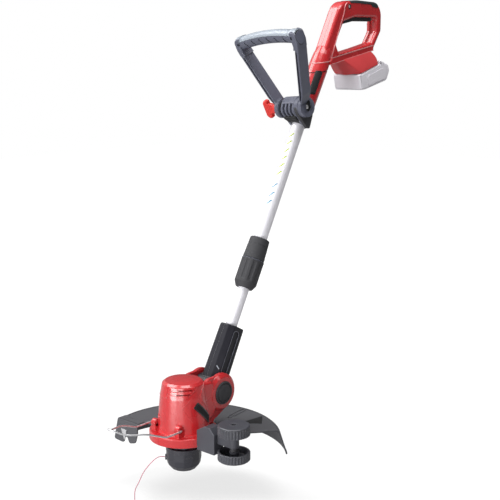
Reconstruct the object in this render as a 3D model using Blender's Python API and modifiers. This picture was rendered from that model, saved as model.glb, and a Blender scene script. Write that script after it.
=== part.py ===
"""Cordless string trimmer: a battery grass trimmer with a telescopic shaft.

Metres, +Z up. The origin is the middle of the rear grip, -Y is the front
(the cutting head's side), +X is the user's left.
"""
import math

import bmesh
import bpy
from mathutils import Matrix, Vector

# Running gap between pieces that touch, the wall of the moulded shells, and the lap of fused forms
GAP = 0.0003
WALL = 0.003
FINE = 0.00001
LAP = 0.001

# Shaft: its lean from upright, and where the rear grip lies seen from the head pivot
SHAFT_LEAN = 28.35
GRIP_ALONG = 0.8915
GRIP_BEHIND = 0.0644

# Tubes, in distance along the shaft from the head pivot; the upper tube ends before the grip
TUBE_BEFORE_GRIP = 0.2235
UPPER_TUBE_R = 0.014
LOWER_TUBE_R = 0.012
TUBE_WALL = 0.001
LOWER_TUBE_FOOT = 0.062
LOWER_TUBE_TOP = 0.470
UPPER_TUBE_TOP = GRIP_ALONG - TUBE_BEFORE_GRIP
GUIDE_PLUG_LENGTH = 0.016
GUIDE_SPIGOT_LENGTH = 0.015
CABLE_BORE_R = 0.005

# Telescope lock
SLEEVE_FOOT = 0.2144
SLEEVE_LENGTH = 0.0613
SLEEVE_R = 0.0235
SLEEVE_FOOT_R = 0.0175
SLEEVE_CHAMFER = 0.012
FLUTES = 10
FLUTE_R = 0.0075
FLUTE_SET = 0.78
FLUTE_FOOT_EDGE = 0.003
FLUTE_TOP_EDGE = 0.004
COLLET_WALL = 0.0045
COLLET_SEAT = 0.009
COLLAR_LENGTH = 0.046
COLLAR_R = 0.0225
COLLAR_TOP_R = 0.0205

# Neck: the black socket that carries the lower tube on the head pivot
NECK_FOOT = 0.010
NECK_TOP = 0.1335
NECK_FLARE = 0.002
NECK_EDGE = 0.002
NECK_HALF_WIDTH = 0.021
NECK_HALF_DEPTH = 0.020
NECK_CHAMFER = 0.010
BARREL_R = 0.030
BARREL_HALF = 0.0223
PIVOT_PIN_R = 0.005
NECK_SLOT_HALF = 0.005
NECK_SLOT_DEPTH = 0.0015
NECK_SLOT_FOOT = 0.046
NECK_SLOT_TOP = 0.120
NECK_SLOT_CORNER = 0.001
NECK_SCREW_BACK = 0.016
NECK_SCREW_ALONG = 0.105
NECK_SCREW_REACH = 0.0336

# Cutting head, seen from the pivot: the motor axis lies in front of it
MOTOR_AHEAD = 0.075
HEAD_TOP = 0.0385
HEAD_TOP_R = 0.0365
HEAD_SHOULDER = 0.033
HEAD_SHOULDER_R = 0.041
HEAD_WAIST = 0.010
HEAD_WAIST_R = 0.045
HEAD_SKIRT = -0.049
HEAD_SKIRT_R = 0.051
FLANGE_TOP = -0.060
FLANGE_FOOT = -0.0777
FLANGE_R = 0.067
MOTOR_BAY_R = 0.036
BOSS_R = 0.038
BOSS_FACE_R = 0.032
BOSS_FACE = 0.038
CHEEK_FACE = 0.031
NECK_CLEARANCE = 0.0012
WEB_LOW = (-0.058, -0.0603)
WEB_HIGH = (-0.016, -0.034)
HEAD_SCREW_REACH = 0.030
SPOOL_POCKET_DEPTH = 0.0147
BUTTON_R = 0.0233
BUTTON_PROUD = 0.005
BUTTON_TRAVEL = 0.004
BUTTON_RIM = 0.002
BUTTON_EDGE = 0.002
VENTS = 4
HEAD_SIDES = 32
VENT_WIDTH = 0.003
VENT_HEIGHT = 0.018
VENT_FIRST = 20
VENT_STEP = 13

# Motor
MOTOR_R = 0.020
MOTOR_LENGTH = 0.050
MOTOR_SHAFT_R = 0.003
MOTOR_BORE_DEPTH = 0.012
CRADLE_HEIGHT = 0.016
SHAFT_CLEARANCE = 0.002
MOTOR_SHAFT_LAP = 0.010

# Guard: a visor round the back of the head, about its own centre
GUARD_SIDE = 0.005
GUARD_AHEAD = 0.055
GUARD_START = 44.0
GUARD_END = 190.0
GUARD_TOP_R = 0.170
GUARD_RIM_R = 0.188
GUARD_RIM = -0.124
GUARD_RISE = 0.004
GUARD_THICK = 0.003
GUARD_FLAT_RUN = 0.013
GUARD_EDGE_IN = 0.002
GUARD_EDGE_OUT = 0.003
GUARD_HUB_R = 0.020
GUARD_STEPS = 16
SPOOL_OPENING_R = 0.040
FENDER_BACK = 0.096
FENDER_IN = 0.112
FENDER_OUT = 0.170
FENDER_SHELF_BACK = 0.074
FENDER_PROUD = 0.0004
FENDER_FILLET = 0.004
# Lower edge of the fender's wall, seen from the front, and the cutter behind it
FENDER_EDGE = ((-FENDER_IN, -0.098, 0.006), (-0.119, -0.1190, 0.006), (-0.137, -0.1240, 0.006),
               (-0.142, -0.1120, 0.004), (-0.150, -0.1120, 0.004), (-0.154, -0.1260, 0.006),
               (-0.183, GUARD_RIM, FENDER_FILLET))
BLADE = ((-0.1600, -0.0960, 0.0), (-0.1430, -0.0960, 0.0), (-0.1500, -0.1190, 0.0))
BLADE_THICK = 0.0012
GUARD_SCREWS = (70, 150)
GUARD_SCREW_R = 0.053
GUARD_SCREW_REACH = 0.014

# Wire plant guard
WIRE_R = 0.0017
WIRE_ROOT_SIDE = 0.0415
WIRE_ROOT_AHEAD = 0.119
WIRE_ROOT_Z = -0.045
WIRE_LUG_IN = 0.029
WIRE_LUG_OUT = 0.038
WIRE_LUG_R = 0.006
WIRE_LUG_EDGE = 0.003
WIRE_LUG_LAP = 0.0005
WIRE_BEND = 0.0015
# One side of the bow, from its root to the middle of its tip
WIRE_BOW = ((WIRE_ROOT_SIDE, -0.155, WIRE_ROOT_Z), (0.0405, -0.166, -0.043), (0.034, -0.203, -0.029),
            (0.027, -0.226, -0.025), (0.018, -0.244, -0.021), (0.008, -0.259, -0.013), (0.0, -0.262, -0.012))

# Edging wheels and their bracket
AXLE_SIDE = 0.140
AXLE_AHEAD = 0.082
AXLE_R = 0.004
AXLE_HEAD_R = 0.0065
AXLE_HEAD = 0.0015
WHEEL_R = 0.0308
UPPER_WHEEL_TOP = -0.017
UPPER_WHEEL_WIDTH = 0.020
LOWER_WHEEL_TOP = -0.069
LOWER_WHEEL_WIDTH = 0.0175
WHEEL_WALL = 0.004
WHEEL_HUB_R = 0.009
WHEEL_EDGE = 0.0015
BRACKET_FRONT = 0.101
BRACKET_DEPTH = 0.026
BRACKET_IN = 0.056
BRACKET_OUT = 0.107
BRACKET_FOOT = -0.082
BRACKET_TOP = -0.031
BRACKET_OUTLINE = ((BRACKET_IN, BRACKET_FOOT, 0.003), (BRACKET_OUT, BRACKET_FOOT, 0.003),
                   (BRACKET_OUT, -0.043, 0.002), (0.096, BRACKET_TOP, 0.002), (0.081, BRACKET_TOP, 0.002),
                   (BRACKET_IN, -0.045, 0.002))
BRACKET_ARM_IN = 0.095
BRACKET_BOSS_R = 0.007
ARM_TOP = -0.044
ARM_FOOT = -0.062
ARM_HALF_DEPTH = 0.009

# Spool
SPOOL_FOOT = -0.1426
SPOOL_FOOT_R = 0.024
SPOOL_R = 0.035
SPOOL_TOP = -0.096
SPOOL_WALL = 0.003
SPOOL_NECK_R = 0.025
SPOOL_NECK_LAP = 0.012
SPOOL_STEP_Z = -0.118
SPOOL_CURVE = 0.002
SPOOL_CURVE_Z = -0.131
SPOOL_CURVE_IN_Z = -0.130
HOLDER_RIM = 0.004
HOLDER_CORE = 0.016
BOBBIN_R = 0.0285
BOBBIN_CORE_R = 0.012
BOBBIN_HEIGHT = 0.024
BOBBIN_DROP = 0.008
BOBBIN_RIM = 0.002
BOBBIN_LIP = 0.003
EYELET_Z = -0.121
EYELET_R = 0.0035
EYELET_LENGTH = 0.006
EYELET_SHANK = 0.004
EYELET_LIP = 0.0012
EYELET_PROUD = 0.0018
EYELET_BORE_R = 0.00128
LINE_R = 0.0008
LINE_HEADING = 221.5
LINE_STEPS = 3
# Route of the free line from its eyelet: outward and downward, point by point
LINE_ROUTE = ((0.0, 0.0), (0.014, 0.001), (0.0300, 0.0152), (0.0434, 0.0334),
              (0.0527, 0.0537), (0.0605, 0.0705), (0.0617, 0.0905), (0.0610, 0.1060))

# Front handle: its hub on the upper tube, turned a little round the shaft
HUB_BEFORE_GRIP = 0.2835
HUB_ALONG = GRIP_ALONG - HUB_BEFORE_GRIP
HUB_TURN = -8.5
HUB_AHEAD = 0.0264
HUB_DOWN = 0.0286
HUB_UP = 0.0205
HUB_HALF_WIDTH = 0.031
HUB_SLEEVE_R = 0.018
HUB_EAR_HALF = 0.0232
HUB_EAR_BACK = 0.0062
HUB_EAR_FRONT = 0.008
HUB_EAR_RISE = 0.013
HUB_SCREW_SIDE = 0.0195
HUB_SCREW_REACH = 0.022
HUB_BARREL_R = 0.021
HUB_SLOTS = 3
HUB_SLOT_PITCH = 0.013
HUB_SLOT_HALF = 0.002
HUB_SLOT_DEPTH = 0.004
HUB_SLOT_FOOT = -0.012
HUB_SLOT_TOP = 0.016
LOOP_ANGLE = 52.8
LOOP_LENGTH = 0.153
ARM_END = 0.0915
ARM_PLATE = 0.009
ARM_DEPTH = 0.028
ARM_BACK = -0.010
ARM_STEP = 0.0125
ARM_STEP_R = 0.004
ARM_KNEE = (0.0520, 0.0300, 0.015)
ARM_SHOULDER = 0.011
ARM_SHOULDER_R = 0.020
ARM_TIP_OUT = 0.010
ARM_TIP_R = 0.009
ARM_TIP_IN = 0.014
ARM_TIP_THICK = 0.015
ARM_CROTCH = 0.003
ARM_CROTCH_R = 0.012
ARM_GROOVE = ((0.0440, 0.0300, 0.001), (0.0485, 0.0300, 0.001), (0.0815, 0.1250, 0.001), (0.0765, 0.1250, 0.001))
ARM_GROOVE_DEPTH = 0.006
GRIP_R = 0.0135
GRIP_BOW = 0.006
FINGERS = 6
FINGER_DEPTH = 0.002
FINGER_SPAN = 0.8
GRIP_STATIONS = 8
GRIP_DEPTH_SHARE = 0.95
GRIP_SCREW_IN = 0.010
GRIP_SCREW_UP = 0.004
GRIP_SCREW_REACH = 0.020
CLAMP_BOLT_R = 0.004
BOLT_HEAD_R = 0.007
BOLT_RECESS = 0.003
BOLT_PROUD = 0.002
BOLT_SHORT = 0.017
KNOB_END = 0.004
KNOB_REACH = 0.073
KNOB_HUB_R = 0.0105
WING_R = 0.021
WING_HALF = 0.004
KNOB_WING = ((-0.054, 0.009, 0.003), (-0.059, WING_R, 0.006), (-0.082, WING_R, 0.008), (-0.088, 0.012, 0.006),
             (-0.088, -0.012, 0.006), (-0.082, -WING_R, 0.008), (-0.059, -WING_R, 0.006), (-0.054, -0.009, 0.003))

# Rear housing, side outline (y, z, corner radius) round the D-shaped handle
HOUSING_HALF = 0.0165
HOUSING_ROUND = 0.007
HOUSING_OUTLINE = ((-0.1514, -0.1188, 0.0), (-0.0796, 0.0140, 0.040), (-0.0170, 0.0185, 0.100),
                   (0.0737, 0.0160, 0.030), (0.0737, -0.0450, 0.014), (0.0440, -0.0870, 0.006),
                   (-0.1200, -0.1207, 0.0), (-0.1264, -0.1323, 0.0))
LOOP_OUTLINE = ((-0.0675, -0.0270, 0.008), (-0.0250, -0.0170, 0.030), (0.0550, -0.0160, 0.007),
                (0.0545, -0.0460, 0.007), (0.0360, -0.0720, 0.007), (-0.0820, -0.0970, 0.005),
                (-0.0955, -0.0750, 0.004))
SOCKET_FOOT = HUB_ALONG + HUB_UP + 2 * GAP
SEAM_BEFORE_GRIP = 0.1725
SOCKET_SEAM = GRIP_ALONG - SEAM_BEFORE_GRIP
SOCKET_FOOT_R = 0.0195
SOCKET_SEAM_R = 0.0210
SOCKET_SHIFT = 0.0012
SOCKET_LAP = 0.020
CABLE_BORE_RUN = 0.030
LEDGE_HALF = 0.0215
LEDGE_TOP = ((-0.1150, -0.1040), (0.0380, -0.0760))
LEDGE_THICK = 0.013
LEDGE_NOSE = 0.009
LEDGE_EDGE = 0.003
LEDGE_CORNER = 0.004

# Battery rail: its start and slope, the foot that holds it, and the pack
RAIL_START_Y = -0.030
RAIL_START_Z = -0.137
RAIL_SLOPE = 16.6
FOOT_LENGTH = 0.070
FOOT_HALF = 0.0365
FOOT_TOP_HALF = 0.020
FOOT_BEVEL = 0.006
FOOT_SINK = 0.0104
FOOT_BOW = 0.009
FOOT_LEDGE_FROM = 0.040
FOOT_LEDGE_TO = 0.146
RAIL_HALF = 0.024
RAIL_HEIGHT = 0.012
RAIL_BAY_START = 0.004
RAIL_EDGE = 0.001
PACK_HALF = 0.0375
PACK_SPLIT = -0.018
PACK_EDGE = 0.003
PACK_RAIL_START = 0.0170
PACK_RAIL_END = 0.0660
PACK_RAIL_SINK = 0.002
PACK_OUTLINE = ((-0.009, -0.0003, 0.003), (0.0706, -0.0003, 0.0), (0.0713, 0.0050, 0.001),
                (0.0780, 0.0060, 0.003), (0.1050, -0.0120, 0.006), (0.1070, -0.0280, 0.006),
                (0.0900, -0.0460, 0.010), (0.0090, -0.0410, 0.010), (-0.0100, -0.0370, 0.004))
CELL_R = 0.0092
CELL_COUNT = 3
CELL_GAP = 0.0006
CELL_START = 0.0100
CELL_END = 0.0750
CELL_DROP = 0.004
BAY_HALF = 0.031
BAY_START = 0.0085
BAY_END = 0.0960
BAY_DEEP = 0.0175
BAY_RISE = 0.0110
HOLDER_HALF = 0.0305
HOLDER_SHORT = 0.0005
HOLDER_SPANS = ((0.0110, 0.0160), (0.0700, 0.0740))
LATCH_HALF = 0.016
LATCH_RUN = 0.012
LATCH_DEEP = 0.004
LATCH_PROUD = 0.0015
LATCH_TRAVEL = 0.003
LATCH_EDGE = 0.001

# Trigger, lock-off and switch
TRIGGER_HALF = 0.007
TRIGGER_SIDE_GAP = 0.0008
TRIGGER_EDGE = 0.002
TRIGGER_OUTLINE = ((-0.0675, -0.0335, 0.002), (-0.0250, -0.0258, 0.020), (0.0440, -0.0245, 0.003),
                   (0.0440, -0.0118, 0.002), (-0.0200, -0.0110, 0.010), (-0.0520, -0.0020, 0.003),
                   (-0.0665, -0.0030, 0.004))
TRIGGER_SLOT_LOW = (-0.0685, -0.040)
TRIGGER_SLOT_HIGH = (0.0470, -0.0095)
TRIGGER_PIN_Y = -0.060
TRIGGER_PIN_Z = -0.006
TRIGGER_PIN_R = 0.002
LOCK_OFF_Y = -0.0645
LOCK_OFF_Z = 0.0025
LOCK_OFF_R = 0.006
LOCK_OFF_PROUD = 0.004
LOCK_OFF_EDGE = 0.001
LOCK_OFF_LIP = 0.0012
LOCK_OFF_LIP_THICK = 0.002
OVERMOULD_PROUD = 0.0018
OVERMOULD_FRONT = -0.044
OVERMOULD_BACK = 0.056
OVERMOULD_FOOT = 0.0060
SWITCH_LOW = (0.0060, -0.0015)
SWITCH_HIGH = (0.0360, 0.0115)
TERMINAL_LOW = (0.0043, 0.0005)
TERMINAL_BACK = 0.0160
TERMINAL_SIDE = 0.002

# Bare badge plates: half width, reach along the piece, and turn round it
BADGE_THICK = 0.0010
SOCKET_BADGE_HALF = 0.0082
SOCKET_BADGE_FOOT = SOCKET_SEAM - 0.072
SOCKET_BADGE_TOP = SOCKET_SEAM - 0.016
SOCKET_BADGE_TURN = -50
HEAD_BADGE_HALF = 0.0075
HEAD_BADGE_REACH = 0.029
HEAD_BADGE_TILT = -45
HEAD_BADGE_BACK = 0.008
HEAD_BADGE_Z = -0.0205
BADGE_STEPS = 64

# Housing screws: head and shank
SCREW_HEAD_R = 0.0033
SCREW_SHANK_R = 0.0016
SCREW_HEAD = 0.0022
SCREW_REACH = 0.025
POST_R = 0.0045
POST_SHORT = 0.0015

# Heading of the front in the cutting head's own frame
FRONT_HEADING = -90

ROUND = 24
SMALL_ROUND = 12
SCREW_SIDES = 8


def clear_scene():
    for old in list(bpy.data.objects):
        bpy.data.objects.remove(old, do_unlink=True)


clear_scene()
parts = bpy.data.collections.new("string_trimmer")
cutters = bpy.data.collections.new("cutters")
bpy.context.scene.collection.children.link(parts)
bpy.context.scene.collection.children.link(cutters)


def finish(name, colour, roughness, metallic=0.0):
    """A plain Principled finish."""
    material = bpy.data.materials.new(name)
    material.use_nodes = True
    shader = material.node_tree.nodes["Principled BSDF"]
    shader.inputs["Base Color"].default_value = (*colour, 1.0)
    shader.inputs["Roughness"].default_value = roughness
    shader.inputs["Metallic"].default_value = metallic
    return material


RED = finish("gloss_red_plastic", (0.60, 0.045, 0.048), 0.25)
BLACK = finish("black_plastic", (0.026, 0.026, 0.032), 0.45)
GUARD_BLACK = finish("guard_plastic", (0.07, 0.07, 0.08), 0.5)
GREY = finish("grey_blue_plastic", (0.11, 0.12, 0.155), 0.35)
RUBBER = finish("soft_grip", (0.04, 0.045, 0.05), 0.7)
SILVER = finish("tube_aluminium", (0.78, 0.78, 0.80), 0.3, 1.0)
STEEL = finish("bright_steel", (0.68, 0.68, 0.70), 0.25, 1.0)
PALE = finish("pale_grey_plastic", (0.43, 0.41, 0.42), 0.4)
LINE = finish("nylon_line", (0.52, 0.16, 0.22), 0.4)
COPPER = finish("copper", (0.72, 0.36, 0.20), 0.35, 1.0)


def frame(name, parent=None, at=(0, 0, 0), turn=(0, 0, 0)):
    """An empty that places a group of pieces."""
    empty = bpy.data.objects.new(name, None)
    cutters.objects.link(empty)
    empty.parent = parent
    empty.location = at
    empty.rotation_euler = [math.radians(angle) for angle in turn]
    return empty


along = Vector((0, math.sin(math.radians(SHAFT_LEAN)), math.cos(math.radians(SHAFT_LEAN))))
behind = Vector((0, along.z, -along.y))
PIVOT = -(along * GRIP_ALONG + behind * GRIP_BEHIND)

ROOT = frame("trimmer")
SHAFT = frame("shaft_frame", ROOT, PIVOT, (-SHAFT_LEAN, 0, 0))
HEAD = frame("head_frame", ROOT, PIVOT)
MOTOR = frame("motor_frame", HEAD, (0, -MOTOR_AHEAD, 0))
HUB = frame("hub_frame", SHAFT, (0, 0, HUB_ALONG), (0, 0, HUB_TURN))
LOOP = frame("loop_frame", HUB, (0, -HUB_AHEAD, 0), (LOOP_ANGLE, 0, 0))
RAIL = frame("rail_frame", ROOT, (0, RAIL_START_Y, RAIL_START_Z), (RAIL_SLOPE, 0, 0))


shoulder = Vector((PACK_OUTLINE[4][0] - PACK_OUTLINE[3][0], PACK_OUTLINE[4][1] - PACK_OUTLINE[3][1]))
shoulder_mid = [(PACK_OUTLINE[3][i] + PACK_OUTLINE[4][i]) / 2 for i in (0, 1)]
shoulder_slope = math.degrees(math.atan2(shoulder.y, shoulder.x))
LATCH = frame("latch_frame", RAIL, (0, *shoulder_mid), (shoulder_slope, 0, 0))


def add(name, mesh, parent, material, at=(0, 0, 0), turn=(0, 0, 0)):
    """Put a mesh in the model as a named piece."""
    obj = bpy.data.objects.new(name, mesh)
    parts.objects.link(obj)
    obj.parent = parent
    obj.location = at
    obj.rotation_euler = [math.radians(angle) for angle in turn]
    if material:
        mesh.materials.append(material)
    return obj


def as_cutter(obj):
    """Hide a piece that only shapes others."""
    parts.objects.unlink(obj)
    cutters.objects.link(obj)
    obj.hide_render = True
    obj.display_type = "WIRE"
    return obj


def shape(target, tool, operation):
    boolean = target.modifiers.new(operation.lower() + "_" + tool.name, "BOOLEAN")
    boolean.operation = operation
    boolean.object = as_cutter(tool) if not tool.hide_render else tool
    boolean.solver = "EXACT"
    return target


def cut(target, *tools):
    for tool in tools:
        shape(target, tool, "DIFFERENCE")
    return target


def fuse(target, *tools):
    for tool in tools:
        shape(target, tool, "UNION")
    return target


def keep(target, tool):
    return shape(target, tool, "INTERSECT")


def soften(obj, width, segments=2, angle=40):
    """Round the sharp edges."""
    bevel = obj.modifiers.new("soft_edges", "BEVEL")
    bevel.width = width
    bevel.segments = segments
    bevel.limit_method = "ANGLE"
    bevel.angle_limit = math.radians(angle)
    return obj


def face_outwards(bm):
    bmesh.ops.recalc_face_normals(bm, faces=bm.faces)
    if bm.calc_volume(signed=True) < 0:
        bmesh.ops.reverse_faces(bm, faces=bm.faces)


def mesh_from(bm, name):
    mesh = bpy.data.meshes.new(name)
    face_outwards(bm)
    bm.to_mesh(mesh)
    bm.free()
    return mesh


TO_X = Matrix.Rotation(math.radians(90), 4, "Y")
TO_Y = Matrix.Rotation(math.radians(-90), 4, "X")
TO_Z = Matrix.Identity(4)


def box(name, low, high, parent, material=None, turn=(0, 0, 0), at=(0, 0, 0)):
    """A block between two corners."""
    low = Vector(low)
    high = Vector(high)
    bm = bmesh.new()
    bmesh.ops.create_cube(bm, size=1.0)
    size = high - low
    middle = (high + low) / 2
    bm.transform(Matrix.Translation(middle) @ Matrix.Diagonal((*size, 1)))
    return add(name, mesh_from(bm, name), parent, material, at, turn)


def cylinder(name, radius, start, end, parent, material=None, axis=TO_Z, at=(0, 0, 0),
             end_radius=None, sides=ROUND):
    """A round bar from start to end along an axis."""
    bm = bmesh.new()
    bmesh.ops.create_cone(bm, cap_ends=True, segments=sides, radius1=radius,
                          radius2=radius if end_radius is None else end_radius, depth=end - start)
    bm.transform(axis @ Matrix.Translation((0, 0, (start + end) / 2)))
    return add(name, mesh_from(bm, name), parent, material, at)


def turned(name, profile, parent, material=None, at=(0, 0, 0), axis=None, steps=ROUND, bored=False):
    """A turned piece from (radius, height) points that run down its outer side."""
    mesh = bpy.data.meshes.new(name)
    points = [(radius, 0, height) for radius, height in profile]
    edges = [(i, i + 1) for i in range(len(points) - 1)]
    if bored:
        edges.append((len(points) - 1, 0))
    mesh.from_pydata(points, edges, [])
    obj = add(name, mesh, parent, material, at)
    if axis is not None:
        obj.rotation_euler = axis.to_euler()
    screw = obj.modifiers.new("turn", "SCREW")
    screw.axis = "Z"
    screw.angle = math.radians(360)
    screw.steps = steps
    screw.render_steps = steps
    screw.use_merge_vertices = True
    screw.merge_threshold = FINE
    return obj


def ring(outer, inner, top, foot):
    """The profile of a plain ring."""
    return ((outer, top), (outer, foot), (inner, foot), (inner, top))


def corner_arc(before, corner, after, radius, count=4):
    """Points of the arc that rounds a corner."""
    if radius <= 0:
        return [corner]
    to_before = (before - corner).normalized()
    to_after = (after - corner).normalized()
    half = to_before.angle(to_after) / 2
    reach = min(radius / math.tan(half), (before - corner).length * 0.48, (after - corner).length * 0.48)
    radius = reach * math.tan(half)
    centre = corner + (to_before + to_after).normalized() * radius / math.sin(half)
    first = corner + to_before * reach - centre
    last = corner + to_after * reach - centre
    sweep = first.angle_signed(last)
    return [centre + Matrix.Rotation(-sweep * i / count, 2) @ first for i in range(count + 1)]


def rounded(corners, count=4):
    """A closed outline with its corners rounded."""
    points = []
    total = len(corners)
    for i, (a, b, radius) in enumerate(corners):
        before = Vector(corners[i - 1][:2])
        after = Vector(corners[(i + 1) % total][:2])
        points += corner_arc(before, Vector((a, b)), after, radius, count)
    return points


def offset(corners, grow):
    """Corners of the outline moved outwards by grow, inwards where it is negative."""
    total = len(corners)
    area = sum(corners[i - 1][0] * corners[i][1] - corners[i][0] * corners[i - 1][1] for i in range(total))
    side = 1 if area > 0 else -1
    moved = []
    for i, (a, b, radius) in enumerate(corners):
        corner = Vector((a, b))
        back = (corner - Vector(corners[i - 1][:2])).normalized()
        ahead = (Vector(corners[(i + 1) % total][:2]) - corner).normalized()
        normal_back = Vector((back.y, -back.x)) * side
        normal_ahead = Vector((ahead.y, -ahead.x)) * side
        mitre = (normal_back + normal_ahead).normalized()
        shift = grow / max(0.2, mitre.dot(normal_ahead))
        convex = (back.x * ahead.y - back.y * ahead.x) * side > 0
        new_radius = max(0.0, radius + (grow if convex else -grow)) if radius else 0.0
        moved.append((*(corner + mitre * shift), new_radius))
    return moved


SIDE_ON = Matrix(((0, 0, 1, 0), (1, 0, 0, 0), (0, 1, 0, 0), (0, 0, 0, 1)))
FACE_ON = Matrix(((1, 0, 0, 0), (0, 0, -1, 0), (0, 1, 0, 0), (0, 0, 0, 1)))


def meshed(curve_object, merge=FINE):
    """Turn a curve object into a mesh object of the same name and place."""
    bpy.context.view_layer.update()
    seen = curve_object.evaluated_get(bpy.context.evaluated_depsgraph_get())
    mesh = bpy.data.meshes.new_from_object(seen)
    bm = bmesh.new()
    bm.from_mesh(mesh)
    bmesh.ops.remove_doubles(bm, verts=bm.verts, dist=merge)
    face_outwards(bm)
    bm.to_mesh(mesh)
    bm.free()
    name = curve_object.name
    bpy.data.objects.remove(curve_object, do_unlink=True)
    mesh.name = name
    return mesh


def plate(name, outlines, low, high, parent, material=None, view=SIDE_ON, turn=(0, 0, 0), at=(0, 0, 0)):
    """A flat plate from its outline and any holes, between two depths."""
    curve = bpy.data.curves.new(name, "CURVE")
    curve.dimensions = "2D"
    curve.fill_mode = "BOTH"
    curve.extrude = (high - low) / 2
    for outline in outlines:
        spline = curve.splines.new("POLY")
        spline.points.add(len(outline) - 1)
        for point, (a, b) in zip(spline.points, outline):
            point.co = (a, b, 0, 1)
        spline.use_cyclic_u = True
    drawn = bpy.data.objects.new(name, curve)
    parts.objects.link(drawn)
    mesh = meshed(drawn)
    mesh.transform(view @ Matrix.Translation((0, 0, (low + high) / 2)))
    return add(name, mesh, parent, material, at, turn)


def rod(name, points, radius, parent, material=None, sides=2):
    """A round wire through its points."""
    curve = bpy.data.curves.new(name, "CURVE")
    curve.dimensions = "3D"
    curve.bevel_depth = radius
    curve.bevel_resolution = sides
    curve.use_fill_caps = True
    spline = curve.splines.new("POLY")
    spline.points.add(len(points) - 1)
    for point, place in zip(spline.points, points):
        point.co = (*place, 1)
    drawn = bpy.data.objects.new(name, curve)
    parts.objects.link(drawn)
    return add(name, meshed(drawn), parent, material)


def loft(name, rings, parent, material=None, at=(0, 0, 0), turn=(0, 0, 0)):
    """A solid between unlike sections, each a ring of as many points."""
    bm = bmesh.new()
    loops = [[bm.verts.new(point) for point in section] for section in rings]
    count = len(rings[0])
    for first, second in zip(loops, loops[1:]):
        for i in range(count):
            j = (i + 1) % count
            bm.faces.new((first[i], first[j], second[j], second[i]))
    bm.faces.new(loops[0])
    bm.faces.new(list(reversed(loops[-1])))
    return add(name, mesh_from(bm, name), parent, material, at, turn)


def smooth_path(points, per_span):
    """Points on a smooth curve through the route's points."""
    path = []
    ends = [points[0]] + list(points) + [points[-1]]
    for i in range(1, len(ends) - 2):
        p0, p1, p2, p3 = (Vector(ends[k]) for k in range(i - 1, i + 3))
        for step in range(per_span):
            t = step / per_span
            path.append(0.5 * (2 * p1 + (p2 - p0) * t + (2 * p0 - 5 * p1 + 4 * p2 - p3) * t * t
                               + (3 * p1 - p0 - 3 * p2 + p3) * t ** 3))
    path.append(Vector(points[-1]))
    return path


FAR = 1.0


def halves(build, left_name, right_name):
    """Split what build makes along the mid-plane into a left and a right piece."""
    pieces = []
    for name, low, high in ((left_name, GAP / 2, FAR), (right_name, -FAR, -GAP / 2)):
        whole = build(name)
        side = box(name + "_side", (low, -FAR, -FAR), (high, FAR, FAR), ROOT)
        keep(whole, side)
        pieces.append(whole)
    return pieces


def screw(name, parent, material, at, reach, turn=(0, 0, 0)):
    """A headed screw, its head's outer face at the place given, pointing along -Z before its turn."""
    profile = ((0, 0), (SCREW_HEAD_R, 0), (SCREW_HEAD_R, -SCREW_HEAD), (SCREW_SHANK_R, -SCREW_HEAD),
               (SCREW_SHANK_R, -reach), (0, -reach))
    piece = turned(name, profile, parent, material, at, steps=SCREW_SIDES)
    piece.rotation_euler = [math.radians(angle) for angle in turn]
    return piece


def screw_hole(name, parent, at, reach, turn=(0, 0, 0)):
    """The hole that a screw needs, open above its head."""
    open_end = SCREW_HEAD * 3
    profile = ((0, open_end), (SCREW_HEAD_R + GAP, open_end), (SCREW_HEAD_R + GAP, -SCREW_HEAD - GAP),
               (SCREW_SHANK_R + GAP, -SCREW_HEAD - GAP), (SCREW_SHANK_R + GAP, -reach - GAP), (0, -reach - GAP))
    piece = turned(name, profile, parent, None, at, steps=SCREW_SIDES)
    piece.rotation_euler = [math.radians(angle) for angle in turn]
    return piece


FROM_LEFT = (0, 90, 0)
FROM_RIGHT = (0, -90, 0)


# Heights that several pieces share
SLEEVE_TOP = SLEEVE_FOOT + SLEEVE_LENGTH
UPPER_TUBE_FOOT = SLEEVE_TOP + COLLET_SEAT
COLLET_R = LOWER_TUBE_R + GAP + COLLET_WALL
BAY_FLOOR = FLANGE_TOP + 0.002
CHEEK_IN = BARREL_HALF + 0.0007
SPOOL_POCKET_R = SPOOL_OPENING_R - 0.002
GRIP_FACE = ARM_END - ARM_TIP_THICK


def make_tubes():
    """Upper and lower tube with the guide plug that slides inside."""
    turned("upper_tube", ring(UPPER_TUBE_R, UPPER_TUBE_R - TUBE_WALL, UPPER_TUBE_TOP, UPPER_TUBE_FOOT),
           SHAFT, SILVER, bored=True)
    turned("lower_tube", ring(LOWER_TUBE_R, LOWER_TUBE_R - TUBE_WALL, LOWER_TUBE_TOP, LOWER_TUBE_FOOT),
           SHAFT, SILVER, bored=True)
    slide_r = UPPER_TUBE_R - TUBE_WALL - GAP
    spigot_r = LOWER_TUBE_R - TUBE_WALL - GAP
    seat = LOWER_TUBE_TOP + GAP
    top = seat + GUIDE_PLUG_LENGTH
    foot = LOWER_TUBE_TOP - GUIDE_SPIGOT_LENGTH
    profile = ((slide_r, top), (slide_r, seat), (spigot_r, seat), (spigot_r, foot),
               (CABLE_BORE_R, foot), (CABLE_BORE_R, top))
    turned("guide_plug", profile, SHAFT, BLACK, bored=True)


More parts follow.
